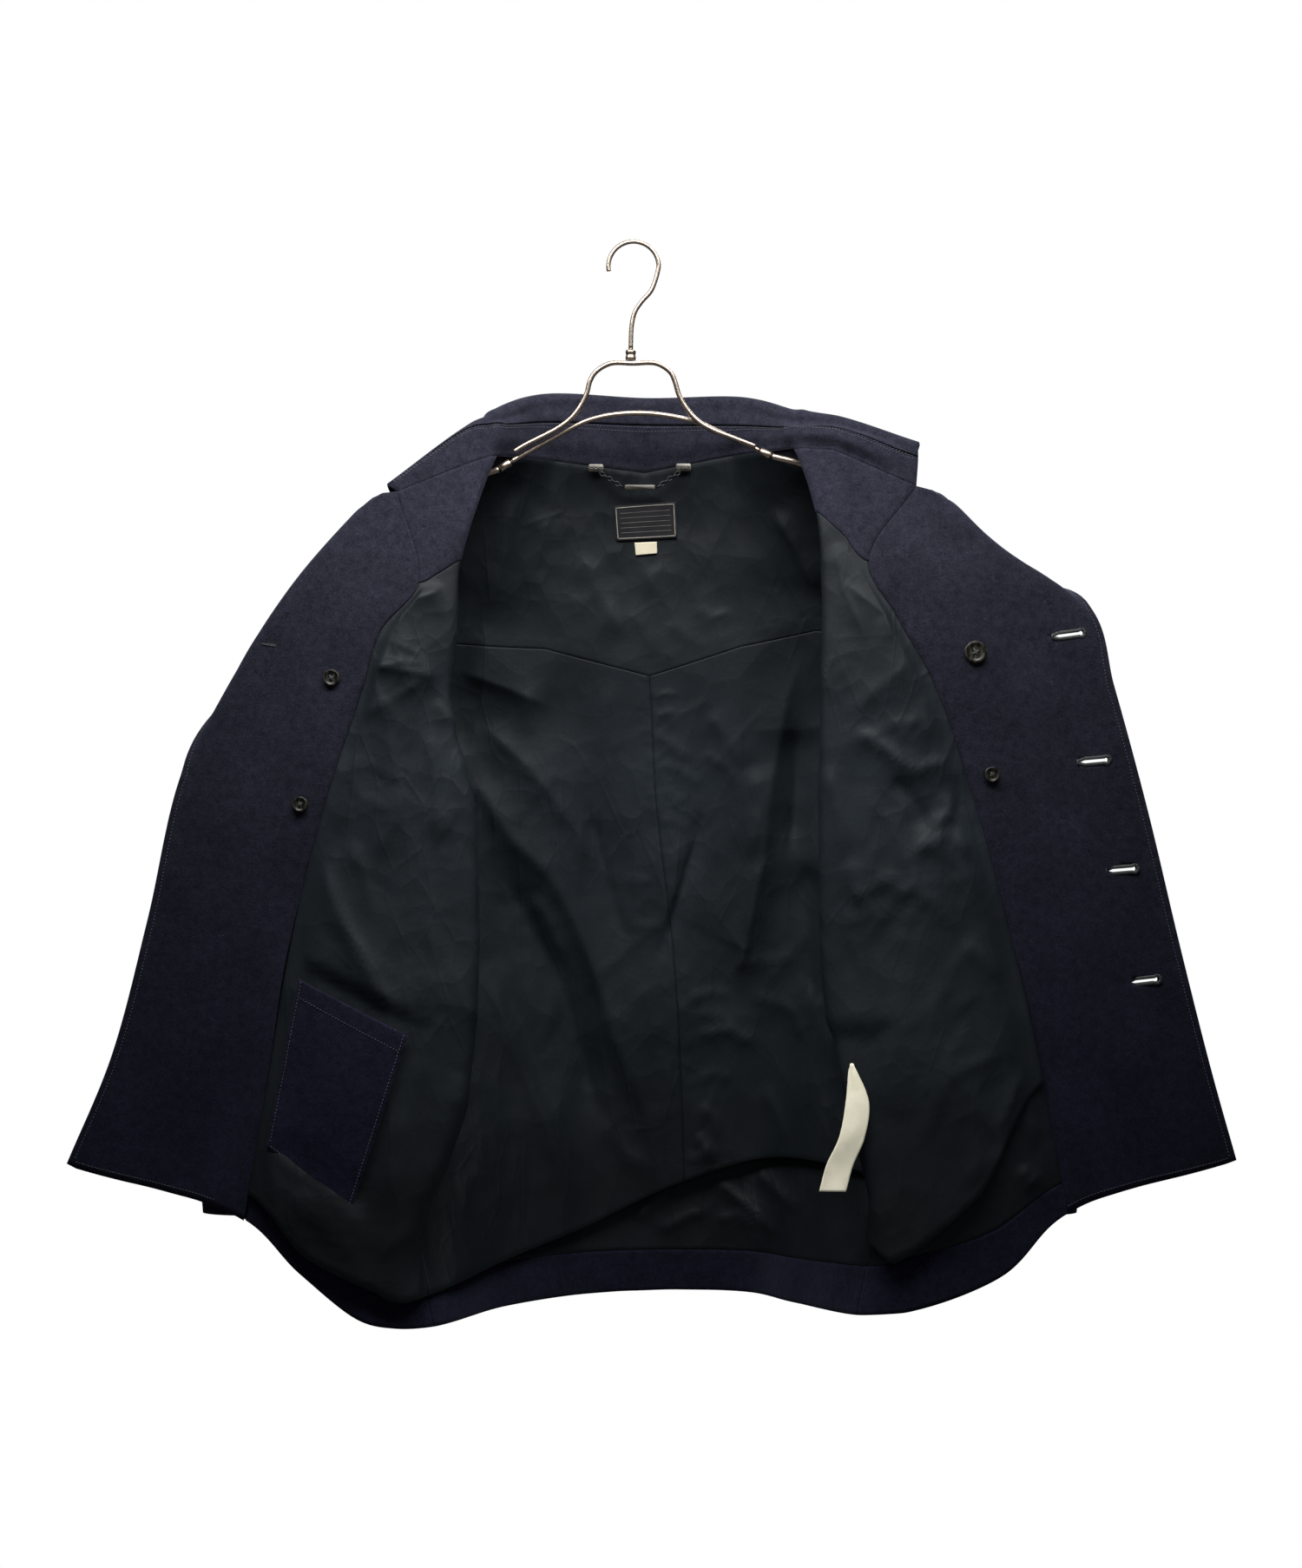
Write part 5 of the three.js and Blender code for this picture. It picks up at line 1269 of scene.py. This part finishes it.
def sleeve(name, side, hand, seed):
    rows, sides = 118, 84
    points, angle, t = sleeve_points(side, hand, rows, sides)
    centre = points.mean(axis=1, keepdims=True)
    out = unit(points - centre)
    pick = np.random.RandomState(seed)
    ripple = np.zeros((rows, sides))
    for at, rise in SLEEVE_RIPPLES:
        lean, phase = pick.uniform(-0.8, 0.8), pick.uniform(0, 6.28)
        line = at + lean * np.sin(angle[None] + phase)
        spread = pick.uniform(0.16, 0.3)
        strength = 0.55 + 0.45 * np.sin(angle[None] * 1 + phase * 1.7)
        ripple += rise * strength * np.exp(-((t[:, None] - line) / spread) ** 2)
    ripple *= smooth(t[:, None] - 0.5)
    middle = points + out * ripple[..., None]
    faces, size = [], rows * sides
    layers = np.concatenate([(middle + out * WOOL / 2).reshape(-1, 3),
                             (middle - out * WOOL / 2).reshape(-1, 3),
                             middle[0], middle[-1]])
    def at(layer, i, k):
        return layer * size + i * sides + k % sides
    for i in range(rows - 1):
        for k in range(sides):
            faces.append((at(0, i, k), at(0, i, k + 1), at(0, i + 1, k + 1), at(0, i + 1, k)))
            faces.append((at(1, i, k), at(1, i + 1, k), at(1, i + 1, k + 1), at(1, i, k + 1)))
    for k in range(sides):
        m, n = 2 * size + k, 2 * size + (k + 1) % sides
        faces += [(at(0, 0, k + 1), at(0, 0, k), m, n), (n, m, at(1, 0, k), at(1, 0, k + 1))]
        m, n = m + sides, n + sides
        last = rows - 1
        faces += [(at(0, last, k), at(0, last, k + 1), n, m),
                  (m, n, at(1, last, k + 1), at(1, last, k))]
    round_ = np.linalg.norm(middle - np.roll(middle, 1, axis=1), axis=2)
    down = np.linalg.norm(np.diff(middle, axis=0), axis=2)
    uv = np.zeros((rows, sides, 2))
    uv[:, :, 0] = np.cumsum(round_, axis=1)
    uv[1:, :, 1] = np.cumsum(down, axis=0)
    all_uv = np.concatenate([uv.reshape(-1, 2)] * 2 + [uv[0], uv[-1]])
    piece = finish_mesh(name + "_cloth", layers, turned_out(layers, faces), M_WOOL, all_uv)
    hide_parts(name)
    nxt = np.roll(middle, -1, axis=1)
    d1, d2 = nxt[1:] - middle[:-1], middle[1:] - nxt[:-1]
    area = np.linalg.norm(np.cross(d1, d2), axis=2).sum() / 2 / 1e6
    return middle, out


sleeve("sleeve_left", LEFT, -1, 5)
sleeve("sleeve_right", RIGHT, 1, 9)

# ---------------------------------------------------------------- hanger
arc = [(1.5 + HOOK_RADIUS * math.cos(a), 0, HOOK_WIRE - HOOK_RADIUS + HOOK_RADIUS * math.sin(a))
       for a in np.radians(np.arange(190, -1, -9.5))]
hook = arc + [(17.5, 0, -41), (9, 0, -51), (3, 0, -60), (0, 0, -72), (-1, 0, -94)]
solid("hook_wire", [tube(smooth_line(hook, 150), HOOK_WIRE, 20)], M_STEEL,
      ["hanger_hook"])
solid("hook_ferrule", [lathe([(3.2, -94), (4.2, -94.4), (4.6, -95.2), (4.6, -97.2), (4.2, -97.8),
                              (4.2, -99.6), (4.6, -100.2), (4.6, -102.6), (4.0, -103.1)],
                             np.array([-1.0, 0, 0]), [0, 0, 1], 32)],
      M_STEEL, ["hanger_ferrule"])
BRIDGE = [(-104, -184.5), (-95, -179), (-66, -164), (-54, -155), (-46, -145), (-40, -133),
          (-37, -122), (-32, -114), (-19, -106.5), (1, -106.3), (22, -106.5), (34, -114),
          (38, -122), (42, -135), (49, -147), (58, -157), (71, -165), (89, -172), (110, -180)]
BAR = [(-107, -193), (-75, -175), (-36, -155.5), (7, -150), (54, -157), (89, -172), (113, -183)]
solid("bridge_wire", [tube(smooth_line([(x, -WIRE_SET, z) for x, z in BRIDGE], 160),
                           FRAME_WIRE, 18)], M_STEEL, ["hanger_frame"])
solid("bar_wire", [tube(smooth_line([(x, WIRE_SET, z) for x, z in BAR], 90), FRAME_WIRE, 18)],
      M_STEEL, ["hanger_bar"])
ARMS = {"left": [(-118, 1, -200), (-150, 1, -210.9), (-178, 1.5, -224.1), (-205, 2, -238.1)],
        "right": [(124.5, 1, -188.5), (156, 1, -197.1), (190, 1.5, -217.6), (222, 2, -237.6)]}
for side, bar_end in (("left", BAR[0]), ("right", BAR[-1])):
    arm = ARMS[side]
    solid(f"arm_{side}_rod", [tube(smooth_line(arm, 60), ARM_RADIUS, 20)], M_STEEL,
          [f"hanger_arm_{side}"])
    a, b = np.array([bar_end[0], WIRE_SET, bar_end[1]]), np.array(arm[0], float)
    axis, size = unit(b - a), np.linalg.norm(b - a) - 2
    r = ARM_RADIUS + 0.6
    solid(f"arm_{side}_sleeve", [lathe([(r - 0.7, -size / 2), (r, -size / 2 + 0.6),
                                        (r, size / 2 - 0.6), (r - 0.7, size / 2)],
                                       (a + b) / 2, axis, 28)],
          M_STEEL, [f"hanger_sleeve_{side}"])


# ---------------------------------------------------------------- buttons
def button(name, node, sheet, at, radius, height, lift, rear=False):
    u, v = (np.array([a[0]]) for a in locate(sheet, [at[0]], [at[1]], 1, 3))
    axis = inward(sheet, u, v)[0] * (-1 if rear else 1)
    base = surface(sheet, u, v, 0.0)[0] + axis * lift
    r, h = radius, height
    profile = [(r * 0.55, 0), (r * 0.9, 0), (r * 0.985, h * 0.22), (r, h * 0.5),
               (r * 0.97, h * 0.8), (r * 0.9, h * 0.97), (r * 0.83, h), (r * 0.74, h * 0.95),
               (r * 0.64, h * 0.7), (r * 0.5, h * 0.62), (r * 0.2, h * 0.62)]
    parts = [lathe(profile, base, axis, 48)]
    side = unit(np.cross(axis, [0.25, 0.1, 0.96]))
    other = np.cross(axis, side)
    hole, spread = r * 0.1, r * 0.24
    threads, rims = [], []
    spots = [base + axis * h * 0.62 + side * spread * a + other * spread * b
             for a, b in ((1, 1), (1, -1), (-1, -1), (-1, 1))]
    for spot in spots:
        rims.append(lathe([(hole * 0.4, 0.02), (hole, 0.02), (hole * 1.15, 0.16),
                           (hole * 1.45, 0.1), (hole * 1.6, 0)], spot, axis, 14))
    for a, b in ((0, 2), (1, 3)):
        p, q = spots[a], spots[b]
        lift_ = axis * 0.5
        run = smooth_line([p - axis * 0.3, p * 0.8 + q * 0.2 + lift_, (p + q) / 2 + lift_ * 1.3,
                           q * 0.8 + p * 0.2 + lift_, q - axis * 0.3], 11)
        for shift in (-0.32, 0.32):
            threads.append(tube(run + np.cross(unit(q - p), axis) * shift, r * 0.034 + 0.1, 6))
    solid(name, parts, M_HORN, [node])
    solid(name + "_rims", rims, M_HORN)
    neck = lathe([(r * 0.2, -lift * 0.5 if not rear else -0.9), (r * 0.16, 0.4)], base, axis, 14)
    solid(name + "_thread", threads + [neck], M_DARK_THREAD)


INSIDE = [("backing_button_left_upper", LEFT_FRONT, (-260, -387), 7.5),
          ("backing_button_left_lower", LEFT_FRONT, (-286, -497), 7),
          ("inner_button_right", RIGHT_FRONT, (298, -365), 10),
          ("backing_button_right", RIGHT_FRONT, (312, -471), 7)]
for node, sheet, at, radius in INSIDE:
    button(node + "_horn", node, sheet, at, radius, 3.2, FACING_FACE + 0.6)
OUTSIDE = {"left": [(-260, -387), (-286, -497), (-316, -596), (-336, -694)],
           "right": [(298, -365), (312, -471), (336, -575), (360, -676)]}
for side, sheet in FRONTS:
    for k, at in enumerate(OUTSIDE[side]):
        node = f"coat_button_{side}_{k + 1}"
        button(node + "_horn", node, sheet, at, 14, 4.6, WOOL + 0.9, rear=True)


# ---------------------------------------------------------------- patches, labels
def patch(name, sheet, corners, counts, low, high, guess, material, slot, replaces, **how):
    (ax, az), (bx, bz), (cx, cz), (dx, dz) = corners
    s, t = np.meshgrid(np.linspace(0, 1, counts[0]), np.linspace(0, 1, counts[1]), indexing="ij")
    x = (ax + (bx - ax) * s) * (1 - t) + (dx + (cx - dx) * s) * t
    z = (az + (bz - az) * s) * (1 - t) + (dz + (cz - dz) * s) * t
    u, v = locate(sheet, x.ravel(), z.ravel(), *guess)
    u, v = u.reshape(s.shape), v.reshape(s.shape)
    inner, outer = surface(sheet, u, v, high), surface(sheet, u, v, low)
    piece = shell(name, inner, outer, material, slot, replaces, **how)
    return piece, inner, u, v


NECK_LABEL = [(-16.8, -226.7), (39.4, -222.6), (40.9, -255.4), (-14.5, -258.3)]
SIZE_TAB = [(2, -259.8), (22.3, -259), (22.6, -269.6), (3, -271.4)]
POCKET_FLOOR = 7.2
ON_LINING = LINING_FACE + 1.1


def pocket_swell(extra):
    return lambda u, v, x, z: POCKET_FLOOR + extra + 1.6 * in_quad(
        x, z, [(-268, -672), (-214, -700), (-242, -812), (-294, -780)], 30)


_, pocket_top, *_ = patch(
    "inner_pocket_cloth", LEFT_FRONT, POCKET, (46, 60), pocket_swell(0), pocket_swell(WOOL),
    (1.6, 5.4), M_POCKET, "pocket_wool", ["inner_pocket"], rests_on=["lining_front_left_cloth"])
_, label_top, *_ = patch(
    "neck_label_cloth", BACK, NECK_LABEL, (30, 20), ON_LINING, ON_LINING + 0.8, (4, 0.5),
    M_LABEL, "label_black", ["neck_label"], rests_on=["lining_yoke_cloth"])
patch("size_tab_cloth", BACK, SIZE_TAB, (14, 10), ON_LINING, ON_LINING + 0.6, (4, 0.8),
      M_TAB, "tab_cream", ["size_tab"], rests_on=["lining_yoke_cloth"])

CARE_ROWS = [(187, 191, -83.6, -719), (184, 204, -90, -752), (178, 200, -94, -782),
             (167, 190, -94, -806), (161, 184, -95, -828)]
t = np.linspace(0, len(CARE_ROWS) - 1, 46)
care_left = smooth_line([(l, y, z) for l, r, y, z in CARE_ROWS], 46)
care_right = smooth_line([(r, y - 2, z) for l, r, y, z in CARE_ROWS], 46)
s = np.linspace(0, 1, 14)[:, None, None]
curl = 1.8 * np.sin(np.pi * s) * (0.4 + 0.6 * np.sin(t * 1.5)[None, :, None])
care = care_left[None] * (1 - s) + care_right[None] * s + curl * np.array([0, -1.0, 0])
care_low = care + np.array([0, 0.0, 0])
care_high = care + np.array([0, -1.0, 0])
shell("care_label_cloth", care_high, care_low, M_SATIN, "satin_cream", ["care_label"],
      rests_on=["lining_front_right_cloth"], rounded=0.3)


# ---------------------------------------------------------------- sewing
def dense(*points, steps=260):
    """Places between given u, v places, evenly spread."""
    p = np.array(points, float)
    t = np.linspace(0, len(p) - 1, steps)
    return row_at(p[:, 0], t), row_at(p[:, 1], t)


EDGE_STITCH = 6.0
for side, sheet in FRONTS:
    width = sheet["lapel"]["width"]
    v = np.linspace(0.12, 6.94, 620)
    u = -1 + EDGE_STITCH / row_at(width, v)
    front_hem = np.linspace(-0.4, SIDE, 520)
    hem_v = np.full(520, 6.945)
    lower = v > (3.2 if side == "left" else 1.9)
    facing_hem = front_hem < SEAM
    inner = sewn(sheet, u[lower], v[lower], FACING_FACE)
    inner += sewn(sheet, front_hem[facing_hem], hem_v[facing_hem], FACING_FACE)
    solid(f"facing_{side}_topstitch", inner, M_THREAD)
    outer = sewn(sheet, u, v, -WOOL) + sewn(sheet, front_hem, hem_v, -WOOL)
    solid(f"front_{side}_topstitch", outer, M_THREAD)
back_u = np.linspace(BACK_LEFT_SIDE, BACK_RIGHT_SIDE, 700)
solid("back_hem_topstitch", sewn(BACK, back_u, np.full(700, 6.945), -WOOL), M_THREAD)
v = np.linspace(0.1, 6.94, 500)
solid("back_seam_topstitch", sewn(BACK, np.full(500, BACK_CENTRE - 0.04), v, -WOOL)
      + sewn(BACK, np.full(500, BACK_CENTRE + 0.04), v, -WOOL), M_THREAD)
u = np.linspace(0.05, 9.95, 700)
solid("stand_topstitch", sewn(COLLAR_SHEET, u, np.full(700, 0.95), COLLAR / 2)
      + sewn(COLLAR_SHEET, u, np.full(700, 0.84), COLLAR / 2), M_THREAD)
leaf = 3 - EDGE_STITCH / row_at(COLLAR_SHEET["fall"], u)
solid("leaf_topstitch", sewn(COLLAR_SHEET, u, leaf, -COLLAR / 2), M_THREAD)


def grid_stitches(points, rows, **size):
    """Stitches along lines of a patch's upper grid; rows holds fractions s0, t0, s1, t1."""
    nu, nv = points.shape[:2]
    parts = []
    for s0, t0, s1, t1 in rows:
        s, t = np.linspace(s0, s1, 120) * (nu - 1), np.linspace(t0, t1, 120) * (nv - 1)
        i, j = np.minimum(s.astype(int), nu - 2), np.minimum(t.astype(int), nv - 2)
        a, b = (s - i)[:, None], (t - j)[:, None]
        path = (points[i, j] * (1 - a) * (1 - b) + points[i + 1, j] * a * (1 - b)
                + points[i, j + 1] * (1 - a) * b + points[i + 1, j + 1] * a * b)
        normal = unit(np.cross(points[i + 1, j] - points[i, j], points[i, j + 1] - points[i, j]))
        if normal[:, 1].mean() > 0:
            normal = -normal
        parts += stitches(path, normal, **size)
    return parts


pocket_rows = [(0.035, 0.0, 0.035, 0.975), (0.035, 0.975, 0.965, 0.975), (0.965, 0.975, 0.965, 0.0),
               (0.035, 0.1, 0.965, 0.1)]
solid("pocket_topstitch", grid_stitches(pocket_top, pocket_rows), M_THREAD)
border = [(0.03, 0.06, 0.97, 0.06), (0.97, 0.06, 0.97, 0.94), (0.97, 0.94, 0.03, 0.94),
          (0.03, 0.94, 0.03, 0.06)]
solid("label_border", grid_stitches(label_top, border, pitch=1.0, length=1.0, radius=0.34),
      M_SILVER)
bands = [(0.08, t, 0.92, t) for t in (0.22, 0.36, 0.50, 0.64, 0.78)]
solid("label_stripes", grid_stitches(label_top, bands, pitch=1.3, length=0.9, radius=0.13),
      M_SILVER)
tacks = [(0.0, 0.02, 1.0, 0.02), (1.0, 0.02, 1.0, 0.98), (1.0, 0.98, 0.0, 0.98),
         (0.0, 0.98, 0.0, 0.02)]
solid("label_tacks", grid_stitches(label_top, tacks, pitch=2.4, length=1.4, radius=0.2),
      M_DARK_THREAD)

# Close stitches round each buttonhole, on the facing and on the rear face
for name, lift in (("facing", FACING_FACE), ("rear", -WOOL)):
    parts = []
    for centre, along, across, normal, outline in slit_frames:
        out_side = normal if lift > 0 else -normal
        ring = np.array(outline + outline[:1], float)
        gaps = np.linalg.norm(np.diff(ring, axis=0), axis=1)
        at = np.concatenate([[0], np.cumsum(gaps)])
        for s in np.arange(0.3, at[-1], 0.62):
            a, b = np.interp(s, at, ring[:, 0]), np.interp(s, at, ring[:, 1])
            k = min(max(int(np.searchsorted(at, s)) - 1, 0), len(gaps) - 1)
            da, db = (ring[k + 1] - ring[k]) / gaps[k]
            na, nb = db, -da
            base = centre + normal * lift
            p = base + along * (a - na * 0.25) + across * (b - nb * 0.25)
            q = base + along * (a + na * 2.3) + across * (b + nb * 2.3)
            rod = [p - out_side * 0.3, p + out_side * 0.35, (p + q) / 2 + out_side * 0.5,
                   q + out_side * 0.2, q - out_side * 0.3]
            parts.append(tube(np.array(rod), 0.3, 5))
        bar = [centre + normal * lift + along * (-SLIT_LENGTH / 2 - 1.2) + across * d
               + out_side * 0.4 for d in (-2.6, 0, 2.6)]
        parts.append(tube(np.array(bar), 0.7, 6))
    solid(f"buttonhole_{name}_stitches", parts, M_DARK_THREAD)

# The left lapel's buttonhole, closed, at its rolled edge
hole_u, hole_v = locate(LEFT_FRONT, [-322, -309], [-357, -359], 0.1, 2.4)
mark = []
for shift in (-0.011, 0.011):
    u, v = dense((hole_u[0], hole_v[0] + shift), (hole_u[1], hole_v[1] + shift), steps=60)
    mark += sewn(LEFT_FRONT, u, v, FACING_FACE, pitch=0.7, length=0.9, radius=0.42)
solid("lapel_buttonhole", mark, M_DARK_THREAD)

# ---------------------------------------------------------------- chain
def link_solid(centre, direction, pitch, flat):
    angle = np.linspace(0, 2 * np.pi, 28, endpoint=False)
    half = pitch / 2 + 0.6
    x, y = half * np.cos(angle), 1.7 * np.sin(angle)
    direction = unit(np.asarray(direction, float))
    other = unit(np.cross([0, 1.0, 0], direction))
    third = np.cross(direction, other)
    side = third if flat else other
    ring = centre + x[:, None] * direction + y[:, None] * side
    normal = np.cross(direction, side)
    out = unit(ring - centre)
    wire = np.linspace(0, 2 * np.pi, 8, endpoint=False)
    points = np.concatenate([ring + 0.62 * (math.cos(w) * out + math.sin(w) * normal)
                             for w in wire])
    n = len(angle)
    faces = [(j * n + k, j * n + (k + 1) % n, ((j + 1) % 8) * n + (k + 1) % n,
              ((j + 1) % 8) * n + k) for j in range(8) for k in range(n)]
    return points, faces


CHAIN_LEFT, CHAIN_RIGHT = np.array([-32.6, 53, -193.5]), np.array([46.5, 55.6, -192.7])
CHAIN_MIDDLE = np.array([7, 54, -211.0])
PLATE_SIZE, BAR_SIZE = (14, 1.2, 7), (28, 1.4, 4.6)


def chain_side(start, end, count=6):
    start, end = np.asarray(start, float), np.asarray(end, float)
    pitch = np.linalg.norm(end - start) / count
    return [link_solid(start + (end - start) * (k + 0.5) / count, end - start, pitch, k % 2 == 1)
            for k in range(count)]


def plate(size, at):
    """Flat metal plate with round corners."""
    w, d, h = size
    corner = []
    r = min(w, h) * 0.28
    for cx, cz, a0 in ((w / 2 - r, h / 2 - r, 0), (-w / 2 + r, h / 2 - r, 90),
                       (-w / 2 + r, -h / 2 + r, 180), (w / 2 - r, -h / 2 + r, 270)):
        corner += [(cx + r * math.cos(math.radians(a0 + k * 22.5)),
                    cz + r * math.sin(math.radians(a0 + k * 22.5))) for k in range(5)]
    ring = np.array([(x, 0, z) for x, z in corner])
    n = len(ring)
    rows = [ring * 0.94 + [0, d / 2, 0], ring + [0, d / 2 - 0.2, 0],
            ring + [0, -d / 2 + 0.2, 0], ring * 0.94 + [0, -d / 2, 0]]
    points = np.concatenate(rows) + at
    faces = [tuple(range(n)), tuple(reversed(range(3 * n, 4 * n)))]
    faces += [(j * n + (k + 1) % n, j * n + k, (j + 1) * n + k, (j + 1) * n + (k + 1) % n)
              for j in range(3) for k in range(n)]
    return points, faces


def ring_stud(centre, radius):
    return lathe([(radius * 0.45, 0.0), (radius * 0.55, 0.15), (radius, 0.22), (radius * 1.15, 0)],
                 centre, [0, -1, 0], 16)


for node, at in (("chain_plate_left", CHAIN_LEFT), ("chain_plate_right", CHAIN_RIGHT)):
    parts = [plate(PLATE_SIZE, at)]
    parts += [ring_stud(at + [dx, -0.6, 0], 1.3) for dx in (-4, 0, 4)]
    solid(node + "_metal", parts, M_PLATE, [node])
solid("chain_bar_metal", [plate(BAR_SIZE, CHAIN_MIDDLE)], M_PLATE,
      ["chain_bar"])
solid("chain_left_links", chain_side(CHAIN_LEFT + [4, -1.9, -4.6], CHAIN_MIDDLE - [15.4, 0, 0]),
      M_CHAIN, ["chain_left"])
solid("chain_right_links", chain_side(CHAIN_RIGHT + [-4, -2.3, -4.6],
                                      CHAIN_MIDDLE + [15.4, 0, 0]),
      M_CHAIN, ["chain_right"])

# ---------------------------------------------------------------- floor, light, camera
scene = bpy.context.scene
scene.view_settings.view_transform = "Standard"


def stage_plane(name, size, at, colour):
    mesh = bpy.data.meshes.new(name)
    w, d = size
    mesh.from_pydata([(-w, -d, 0), (w, -d, 0), (w, d, 0), (-w, d, 0)], [], [(0, 1, 2, 3)])
    piece = bpy.data.objects.new(name, mesh)
    piece.location = at
    bpy.context.collection.objects.link(piece)
    m, shader = new_material(name + "_paint")
    shader.inputs["Base Color"].default_value = (*colour, 1)
    shader.inputs["Roughness"].default_value = 0.9
    mesh.materials.append(m)


stage_plane("floor", (2.8, 2.8), (0, 0, -1.9), (0.42, 0.42, 0.42))

world = bpy.data.worlds.new("studio")
scene.world = world
world.use_nodes = True
sky = world.node_tree
white = sky.nodes["Background"]
white.inputs["Color"].default_value = (1, 1, 1, 1)
white.inputs["Strength"].default_value = 1.0
# The room that lights the coat is dimmer than its white wall, and brighter above
room = sky.nodes.new("ShaderNodeBackground")
turned_up = sky.nodes.new("ShaderNodeSeparateXYZ")
shade = sky.nodes.new("ShaderNodeValToRGB")
shade.color_ramp.elements[0].position = 0.42
shade.color_ramp.elements[0].color = (0.02, 0.02, 0.021, 1)
shade.color_ramp.elements[1].position = 0.62
shade.color_ramp.elements[1].color = (0.075, 0.075, 0.08, 1)
half = sky.nodes.new("ShaderNodeMath")
half.operation = "MULTIPLY_ADD"
half.inputs[1].default_value = 0.5
half.inputs[2].default_value = 0.5
direction = sky.nodes.new("ShaderNodeTexCoord")
choice = sky.nodes.new("ShaderNodeMixShader")
path = sky.nodes.new("ShaderNodeLightPath")
for a, b in ((direction.outputs["Generated"], turned_up.inputs[0]),
             (turned_up.outputs["Z"], half.inputs[0]), (half.outputs[0], shade.inputs["Fac"]),
             (shade.outputs["Color"], room.inputs["Color"]),
             (path.outputs["Is Camera Ray"], choice.inputs["Fac"]),
             (room.outputs[0], choice.inputs[1]), (white.outputs[0], choice.inputs[2]),
             (choice.outputs[0], sky.nodes["World Output"].inputs["Surface"])):
    sky.links.new(a, b)


def area_light(name, at, target, size, energy, colour=(1, 1, 1)):
    light = bpy.data.lights.new(name, "AREA")
    light.shape, light.size, light.size_y = "RECTANGLE", size[0], size[1]
    light.energy, light.color = energy, colour
    lamp = bpy.data.objects.new(name, light)
    lamp.location = at
    gaze = Vector(target) - Vector(at)
    lamp.rotation_euler = gaze.to_track_quat("-Z", "Y").to_euler()
    lamp.visible_camera = False
    bpy.context.collection.objects.link(lamp)


area_light("key", (-0.02, -0.42, 0.32), (0.0, -0.02, -0.45), (1.3, 0.28), 25, (1, 0.99, 0.97))
area_light("fill", (0.5, -2.6, 0.2), (0.1, 0, -0.5), (1.2, 1.0), 4, (0.96, 0.98, 1))
area_light("rear", (0.4, 1.6, 0.9), (0, 0, -0.5), (1.2, 0.8), 30)

eye = bpy.data.cameras.new("eye")
eye.sensor_width = SENSOR
eye.lens = LENS
camera = bpy.data.objects.new("eye", eye)
camera.location = [c / 1000 for c in EYE_MM]
camera.rotation_euler = (math.pi / 2, 0, 0)
bpy.context.collection.objects.link(camera)
scene.camera = camera
